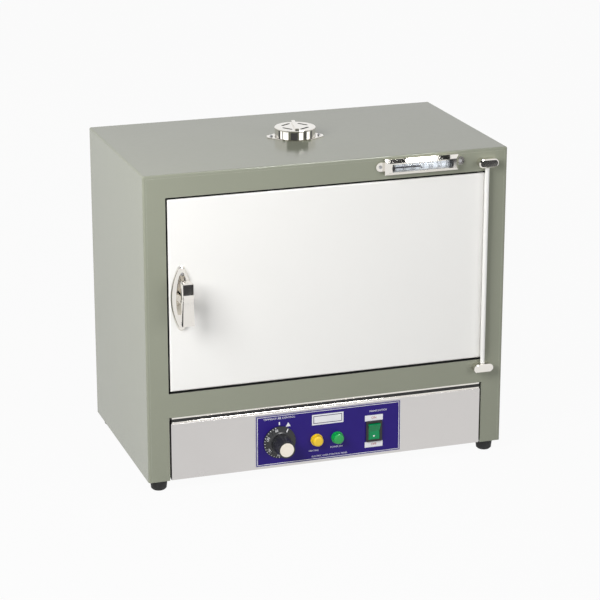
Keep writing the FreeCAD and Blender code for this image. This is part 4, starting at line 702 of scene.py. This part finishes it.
for count in range(figure_count):
    set_on_skirt(words(str(50 * (count + 1)), 0, figure_radius, figure_height),
                 first_turn + count * step_turn)
for count in range(tick_count):
    half = short_half if count % 5 else long_half
    set_on_skirt(patch(-half, tick_foot, half, tick_top), first_turn + count * step_turn / 5)
set_on_skirt(patch(-start_half, start_foot, start_half, start_top), start_turn)
print("dial marks:", len(marks))
dial = join_shapes(marks)
place_shape(dial, (knob_x, label_front, knob_z), (0, -1, 0))
make_piece("dial_figures", dial, print_white, "knob")

# %% [markdown]
# ## The dot on the rocker
#
# A white dot marks the lower half of the rocker. It is a film like the rest of the print, but the
# rocker's face slopes, so the dot is tilted with that face and set out from the rocker's pivot.

# %% Rocker dot
rocker_tilt, dot_along, dot_out, dot_radius = radians(10), -6.5 * MM, -3.18 * MM, 1.25 * MM
slope_rise, slope_run = 2.4, 11.3
pivot_y, pivot_z = label_front + 1 * MM, (switch_low.z + switch_high.z) / 2
lean = atan2(slope_rise, slope_run) - rocker_tilt
dot = disc(dot_radius, 20)
grow(dot, film)
bmesh.ops.transform(dot, matrix=Matrix.Translation((
    switch_x, pivot_y + dot_out * cos(rocker_tilt) - dot_along * sin(rocker_tilt),
    pivot_z + dot_out * sin(rocker_tilt) + dot_along * cos(rocker_tilt)))
    @ Matrix.Rotation(radians(90) - lean, 4, "X"), verts=dot.verts)
item = make_piece("rocker_dot", dot, print_white, "rocker")
dot_height = sum(vert.co.z for vert in item.data.vertices) / len(item.data.vertices)
print("rocker dot at height in mm:", round(dot_height / MM, 1))

# %% [markdown]
# ## The beads and the painted shade over the panel
#
# The panel's top edge folds back under the rail and leaves a gap. The gap shows as a thin black
# line between two bright ones: a bead along the panel's fold and one under the rail. The shade in
# the gap is painted as a black strip in the feet's rubber finish. A bead is a block whose long
# edges are bevelled, so that some part of its round always mirrors light.

# %% Beads and the strip of painted shade
panel_box_low, panel_box_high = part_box("control_panel")
brow, rail_foot = 94.5 * MM, 103.8 * MM
bead_tall, bead_deep, bead_round = 2.6 * MM, 1.8 * MM, 0.8 * MM
shade_strip_foot, shade_strip_tall = brow + 2.5 * MM, rail_foot - brow - 5 * MM
shade_strip_back, shade_strip_deep, shade_strip_round = 0.7 * MM, 3 * MM, 0.3 * MM
strip_long, long_edge = panel_box_high.x - panel_box_low.x - 2 * MM, 100 * MM


def long_bar(foot, tall, back, deep, round_by):
    """A bar along the panel with rounded long edges, its front set back from the panel's face."""
    bar = bmesh.new()
    bmesh.ops.create_cube(bar, size=1)
    bmesh.ops.scale(bar, vec=(strip_long, deep, tall), verts=bar.verts)
    bmesh.ops.bevel(bar, geom=[e for e in bar.edges if e.calc_length() > long_edge],
                    offset=round_by, segments=4, affect="EDGES", profile=0.5, material=-1)
    bmesh.ops.translate(bar, verts=bar.verts,
                        vec=(0, panel_box_low.y + back + deep / 2, foot + tall / 2))
    return bar


beads = join_shapes([long_bar(foot, bead_tall, 0, bead_deep, bead_round)
                     for foot in (brow, rail_foot - bead_tall)])
make_piece("panel_beads", beads, chrome, "cabinet", smooth=radians(50))
# Painted shade: a black strip stands in for the shade in the gap over the panel.
shade_strip = long_bar(shade_strip_foot, shade_strip_tall, shade_strip_back, shade_strip_deep, shade_strip_round)
make_piece("panel_painted_shade", shade_strip, foot_rubber, "cabinet", smooth=radians(50))
print("beads 2, rubber 1")

# %% [markdown]
# ## The painted shade in the door's gap
#
# The gap round the door reads as a black line. Its shade is painted: black strips in the feet's
# rubber finish line both its sides. Each is a thin frame grown backwards: one on the jamb, and one
# on the three free edges of the door, which swings with it.

# %% Painted shade round the door
door_low, door_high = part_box("door_skin")
shade_line, gap, hinge_clear = 0.4 * MM, 2.8 * MM, 8 * MM
jamb_shade_deep, jamb_shade_back, door_shade_deep, door_shade_back = 12 * MM, 13 * MM, 9 * MM, 11 * MM
# Painted shade: black strips line the gap where only shade falls.
jamb_shade = line_frame(door_low.x - gap, door_low.z - gap, door_high.x + gap, door_high.z + gap,
                    shade_line, jamb_shade_deep)
place_shape(jamb_shade, (0, cad_front + jamb_shade_back, 0), (0, -1, 0))
make_piece("jamb_painted_shade", jamb_shade, foot_rubber, "cabinet")
door_shade_end = door_high.x - hinge_clear
door_shade = join_shapes([patch(*corners, rise=door_shade_deep) for corners in (
    (door_low.x - shade_line, door_low.z - shade_line, door_low.x, door_high.z + shade_line),
    (door_low.x, door_high.z, door_shade_end, door_high.z + shade_line),
    (door_low.x, door_low.z - shade_line, door_shade_end, door_low.z))])
place_shape(door_shade, (0, cad_front + door_shade_back, 0), (0, -1, 0))
make_piece("door_painted_shade", door_shade, foot_rubber, "door")
print("door box in mm:", [round(v / MM, 1) for v in (*door_low, *door_high)])

# %% [markdown]
# ## The thermometer
#
# Behind the glass lies a white scale, on which graduation marks and figures are laid. The tube
# itself has a thin column inside it, and a dark sleeve at each end where it is held.

# %% Thermometer details
tube_low, tube_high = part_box("thermometer_tube")
tube_y, tube_z = (tube_low.y + tube_high.y) / 2, (tube_low.z + tube_high.z) / 2
tube_radius = (tube_high.z - tube_low.z) / 2


def along_tube(radius, start, end, segments=20):
    """A round bar along the tube's axis."""
    shape = bmesh.new()
    bmesh.ops.create_cone(shape, cap_ends=True, segments=segments, radius1=radius, radius2=radius,
                          depth=end - start, matrix=Matrix.Rotation(radians(90), 4, "Y"))
    bmesh.ops.translate(shape, vec=((start + end) / 2, tube_y, tube_z), verts=shape.verts)
    return shape


column_dark = moulded("column_dark", srgb(44, 46, 60), srgb(36, 38, 52), 0.2, 0.3, 900.0, 0.002)
column_radius, column_foot, column_top = 0.7 * MM, 4 * MM, 40 * MM
sleeve_long, sleeve_radius = 2.6 * MM, tube_radius + 0.35 * MM
column = along_tube(column_radius, tube_low.x + column_foot, tube_low.x + column_top, 10)
make_piece("thermometer_column", column, column_dark, "cabinet", smooth=radians(40))
sleeves = join_shapes([along_tube(sleeve_radius, tube_low.x, tube_low.x + sleeve_long),
                       along_tube(sleeve_radius, tube_high.x - sleeve_long, tube_high.x)])
make_piece("thermometer_sleeves", sleeves, black_plastic, "cabinet", smooth=radians(40))
print("column 1, sleeves 2")

# %% Thermometer scale
scale_low, scale_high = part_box("thermometer_scale")
count_marks, scale_inset, stroke_half = 31, 6 * MM, 0.2 * MM
scale_top, long_mark, short_mark = scale_high.z - 0.4 * MM, 3.4 * MM, 2.0 * MM
figures_rise, figures_tall = 3.2 * MM, 3.4 * MM
step = (tube_high.x - tube_low.x - 2 * scale_inset) / (count_marks - 1)
scale_marks = []
for count in range(count_marks):
    across = tube_low.x + scale_inset + count * step
    tall = short_mark if count % 5 else long_mark
    scale_marks.append(patch(across - stroke_half, scale_top - tall, across + stroke_half,
                             scale_top))
    if count % 5 == 0:
        scale_marks.append(words(str(count * 10), across, scale_low.z + figures_rise, figures_tall))
graduation = join_shapes(scale_marks)
place_shape(graduation, (0, scale_low.y, 0), (0, -1, 0))
make_piece("thermometer_graduation", graduation, column_dark, "cabinet")
print("graduations:", count_marks)

# %% [markdown]
# ## The studio
#
# A pale floor, an even sky and three square lamps light the object. The sky's strength and the
# lamps are set so that a colour renders about as it is written. The camera, mirrors and glass see
# a white background through Light Path, and the floor keeps the object's shadow.

# %% Sky
seen_kinds = ("Is Camera Ray", "Is Glossy Ray", "Is Transmission Ray")
sky_light, sky_seen = 0.27, 1.0
world = bpy.data.worlds.new("studio")
world.use_nodes = True
scene.world = world
tree = world.node_tree
light_sky = tree.nodes["Background"]
light_sky.inputs["Color"].default_value = (1, 1, 1, 1)
light_sky.inputs["Strength"].default_value = sky_light
seen_sky = add(tree, "ShaderNodeBackground", {"Color": (1, 1, 1, 1), "Strength": sky_seen})
seen = either(tree, add(tree, "ShaderNodeLightPath"), seen_kinds)
mixed = add(tree, "ShaderNodeMixShader", {0: seen, 1: light_sky.outputs[0],
                                          2: seen_sky.outputs[0]})
tree.links.new(mixed.outputs[0], tree.nodes["World Output"].inputs["Surface"])
scene.view_settings.view_transform = "Standard"
print("sky strength:", light_sky.inputs["Strength"].default_value)

# %% Floor
floor_half, floor_grey, floor_seen = 8, 0.36, 0.95
floor_mesh = bpy.data.meshes.new("floor")
plane = bmesh.new()
bmesh.ops.create_grid(plane, x_segments=1, y_segments=1, size=floor_half)
plane.to_mesh(floor_mesh)
plane.free()
floor = bpy.data.objects.new("floor", floor_mesh)
scene.collection.objects.link(floor)
floor_material, tree, shader = open_material(
    "pale_floor", Base_Color=(floor_grey, floor_grey, floor_grey, 1), Roughness=0.9)
seen = either(tree, add(tree, "ShaderNodeLightPath"), seen_kinds)
seen = add(tree, "ShaderNodeMath", {0: seen, 1: floor_seen}, operation="MULTIPLY")
glow = add(tree, "ShaderNodeEmission", {"Color": (1, 1, 1, 1), "Strength": 1.0})
mixed = add(tree, "ShaderNodeMixShader", {0: seen.outputs[0], 1: shader.outputs[0],
                                          2: glow.outputs[0]})
tree.links.new(mixed.outputs[0], tree.nodes["Material Output"].inputs["Surface"])
floor_mesh.materials.append(floor_material)
print("floor ready")

# %% [markdown]
# Polished metal looks like metal only when it has something dark to mirror, so photographers hold
# black cards round it. Two lie on the floor for the handle's head and the upper hinge bracket, two
# hang over the thermometer, and one stands before the vent, where the roof mirrors the cap. A
# bright card overhead draws the light line along the front bend. Round the vent's cap lie narrow
# wedges, black and white in turn: a cylinder mirrors a wedge as an upright column. Only mirror rays
# see the cards, and only from their faced side, so they show in no view and throw no shadow.

# %% Card helpers
def card_finish(name, **values):
    """A card shows on its faced side and is clear from behind."""
    material, tree, shader = open_material(name, Roughness=0.9, **values)
    behind = add(tree, "ShaderNodeNewGeometry").outputs["Backfacing"]
    clear = add(tree, "ShaderNodeBsdfTransparent")
    mixed = add(tree, "ShaderNodeMixShader", {0: behind, 1: shader.outputs[0],
                                              2: clear.outputs[0]})
    tree.links.new(mixed.outputs[0], tree.nodes["Material Output"].inputs["Surface"])
    return material


def flat_card(shape, spot, wide, long, tilt):
    """A card at a spot; it faces up at a tilt of 0 degrees, back at -90 and down at 180."""
    card = bmesh.ops.create_grid(shape, x_segments=1, y_segments=1, size=0.5)["verts"]
    bmesh.ops.scale(shape, vec=(wide, long, 1), verts=card)
    bmesh.ops.rotate(shape, verts=card, cent=(0, 0, 0),
                     matrix=Matrix.Rotation(radians(tilt), 3, "X"))
    bmesh.ops.translate(shape, vec=spot, verts=card)


def column_card(shape, middle, half):
    """A wedge beside the cap; the angles, in degrees, say which part of its round mirrors it."""
    for vert in bmesh.ops.create_grid(shape, x_segments=1, y_segments=1, size=0.5)["verts"]:
        turn = radians(middle - half if vert.co.x > 0 else middle + half)
        away = card_reach if vert.co.y > 0 else 0
        normal, ray = camera_side + turn, camera_side + 2 * turn
        vert.co = (cap_middle.x + cap_radius * cos(normal) + away * cos(ray),
                   cap_middle.y + cap_radius * sin(normal) + away * sin(ray), card_level)


def show_cards(name, shape, material):
    """Only mirror rays see a card."""
    mesh = bpy.data.meshes.new(name)
    shape.to_mesh(mesh)
    shape.free()
    mesh.materials.append(material)
    item = bpy.data.objects.new(name, mesh)
    scene.collection.objects.link(item)
    for kind in ("camera", "diffuse", "transmission", "volume_scatter", "shadow"):
        setattr(item, "visible_" + kind, False)
    print(name, len(mesh.polygons), "seen by mirrors only:", item.visible_glossy)


# %% Cards
cap_low, cap_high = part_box("vent_cap")
cap_middle, cap_radius = (cap_low + cap_high) / 2, (cap_high.x - cap_low.x) / 2 + 0.5 * MM
camera_side = atan2(-forward.y, -forward.x)
card_reach, card_level = 45 * MM, cap_low.z - 0.2 * MM
black_shape, white_shape, strip_shape = bmesh.new(), bmesh.new(), bmesh.new()
flat_card(black_shape, (0.05, -1.08, 0.002), 0.40, 0.16, 0)
flat_card(black_shape, (0.90, -1.69, 0.002), 0.20, 0.22, 0)
flat_card(black_shape, (0.190, -0.215, 0.69), 0.030, 0.10, 180)
flat_card(black_shape, (0.262, -0.215, 0.69), 0.022, 0.10, 180)
flat_card(black_shape, (-0.05, -0.20, 0.512), 0.80, 0.11, -90)
flat_card(strip_shape, (0.34, -0.45, 1.34), 0.36, 0.70, 180)
for middle, half in ((-50, 3), (-2, 10), (29.5, 2.5), (52, 3)):
    column_card(black_shape, middle, half)
for middle, half in ((-42, 3), (-27, 8), (17.5, 6), (40, 5)):
    column_card(white_shape, middle, half)
card_black = card_finish("card_black", Base_Color=(0.01, 0.01, 0.012, 1))
card_white = card_finish("card_white", Emission_Color=(1, 1, 1, 1), Emission_Strength=1.0)
card_bright = card_finish("card_bright", Emission_Color=(1, 1, 1, 1), Emission_Strength=20.0)
show_cards("black_cards", black_shape, card_black)
show_cards("white_cards", white_shape, card_white)
show_cards("strip_card", strip_shape, card_bright)

# %% [markdown]
# The key lamp stands at the front left and lights the side wall and the roof, the fill lamp
# brightens the front from the right, and a third one serves the views from behind. Mirrors don't
# see the lamps, because they would burn out the casing's bends and the chrome.

# %% Lamps
def soft_box(name, spot, aim, size, power):
    """A square lamp at a spot that looks at another; its size is in metres, its power in watts."""
    lamp = bpy.data.lights.new(name, "AREA")
    lamp.shape, lamp.size, lamp.energy = "SQUARE", size, power
    item = bpy.data.objects.new(name, lamp)
    scene.collection.objects.link(item)
    back = Vector(spot) - Vector(aim)
    turn = back.to_track_quat("Z", "Y").to_matrix().to_4x4()
    item.matrix_world = Matrix.Translation(spot) @ turn
    item.visible_glossy = False


soft_box("key_light", (-1.15, -0.88, 1.07), (0, 0, 0.3), 0.8, 26)
soft_box("fill_light", (1.7, -2.4, 0.9), (0, 0, 0.2), 1.6, 25)
soft_box("rear_light", (-1.2, 2.3, 0.6), (0, 0, 0.2), 1.2, 14)
print("lights: 3")
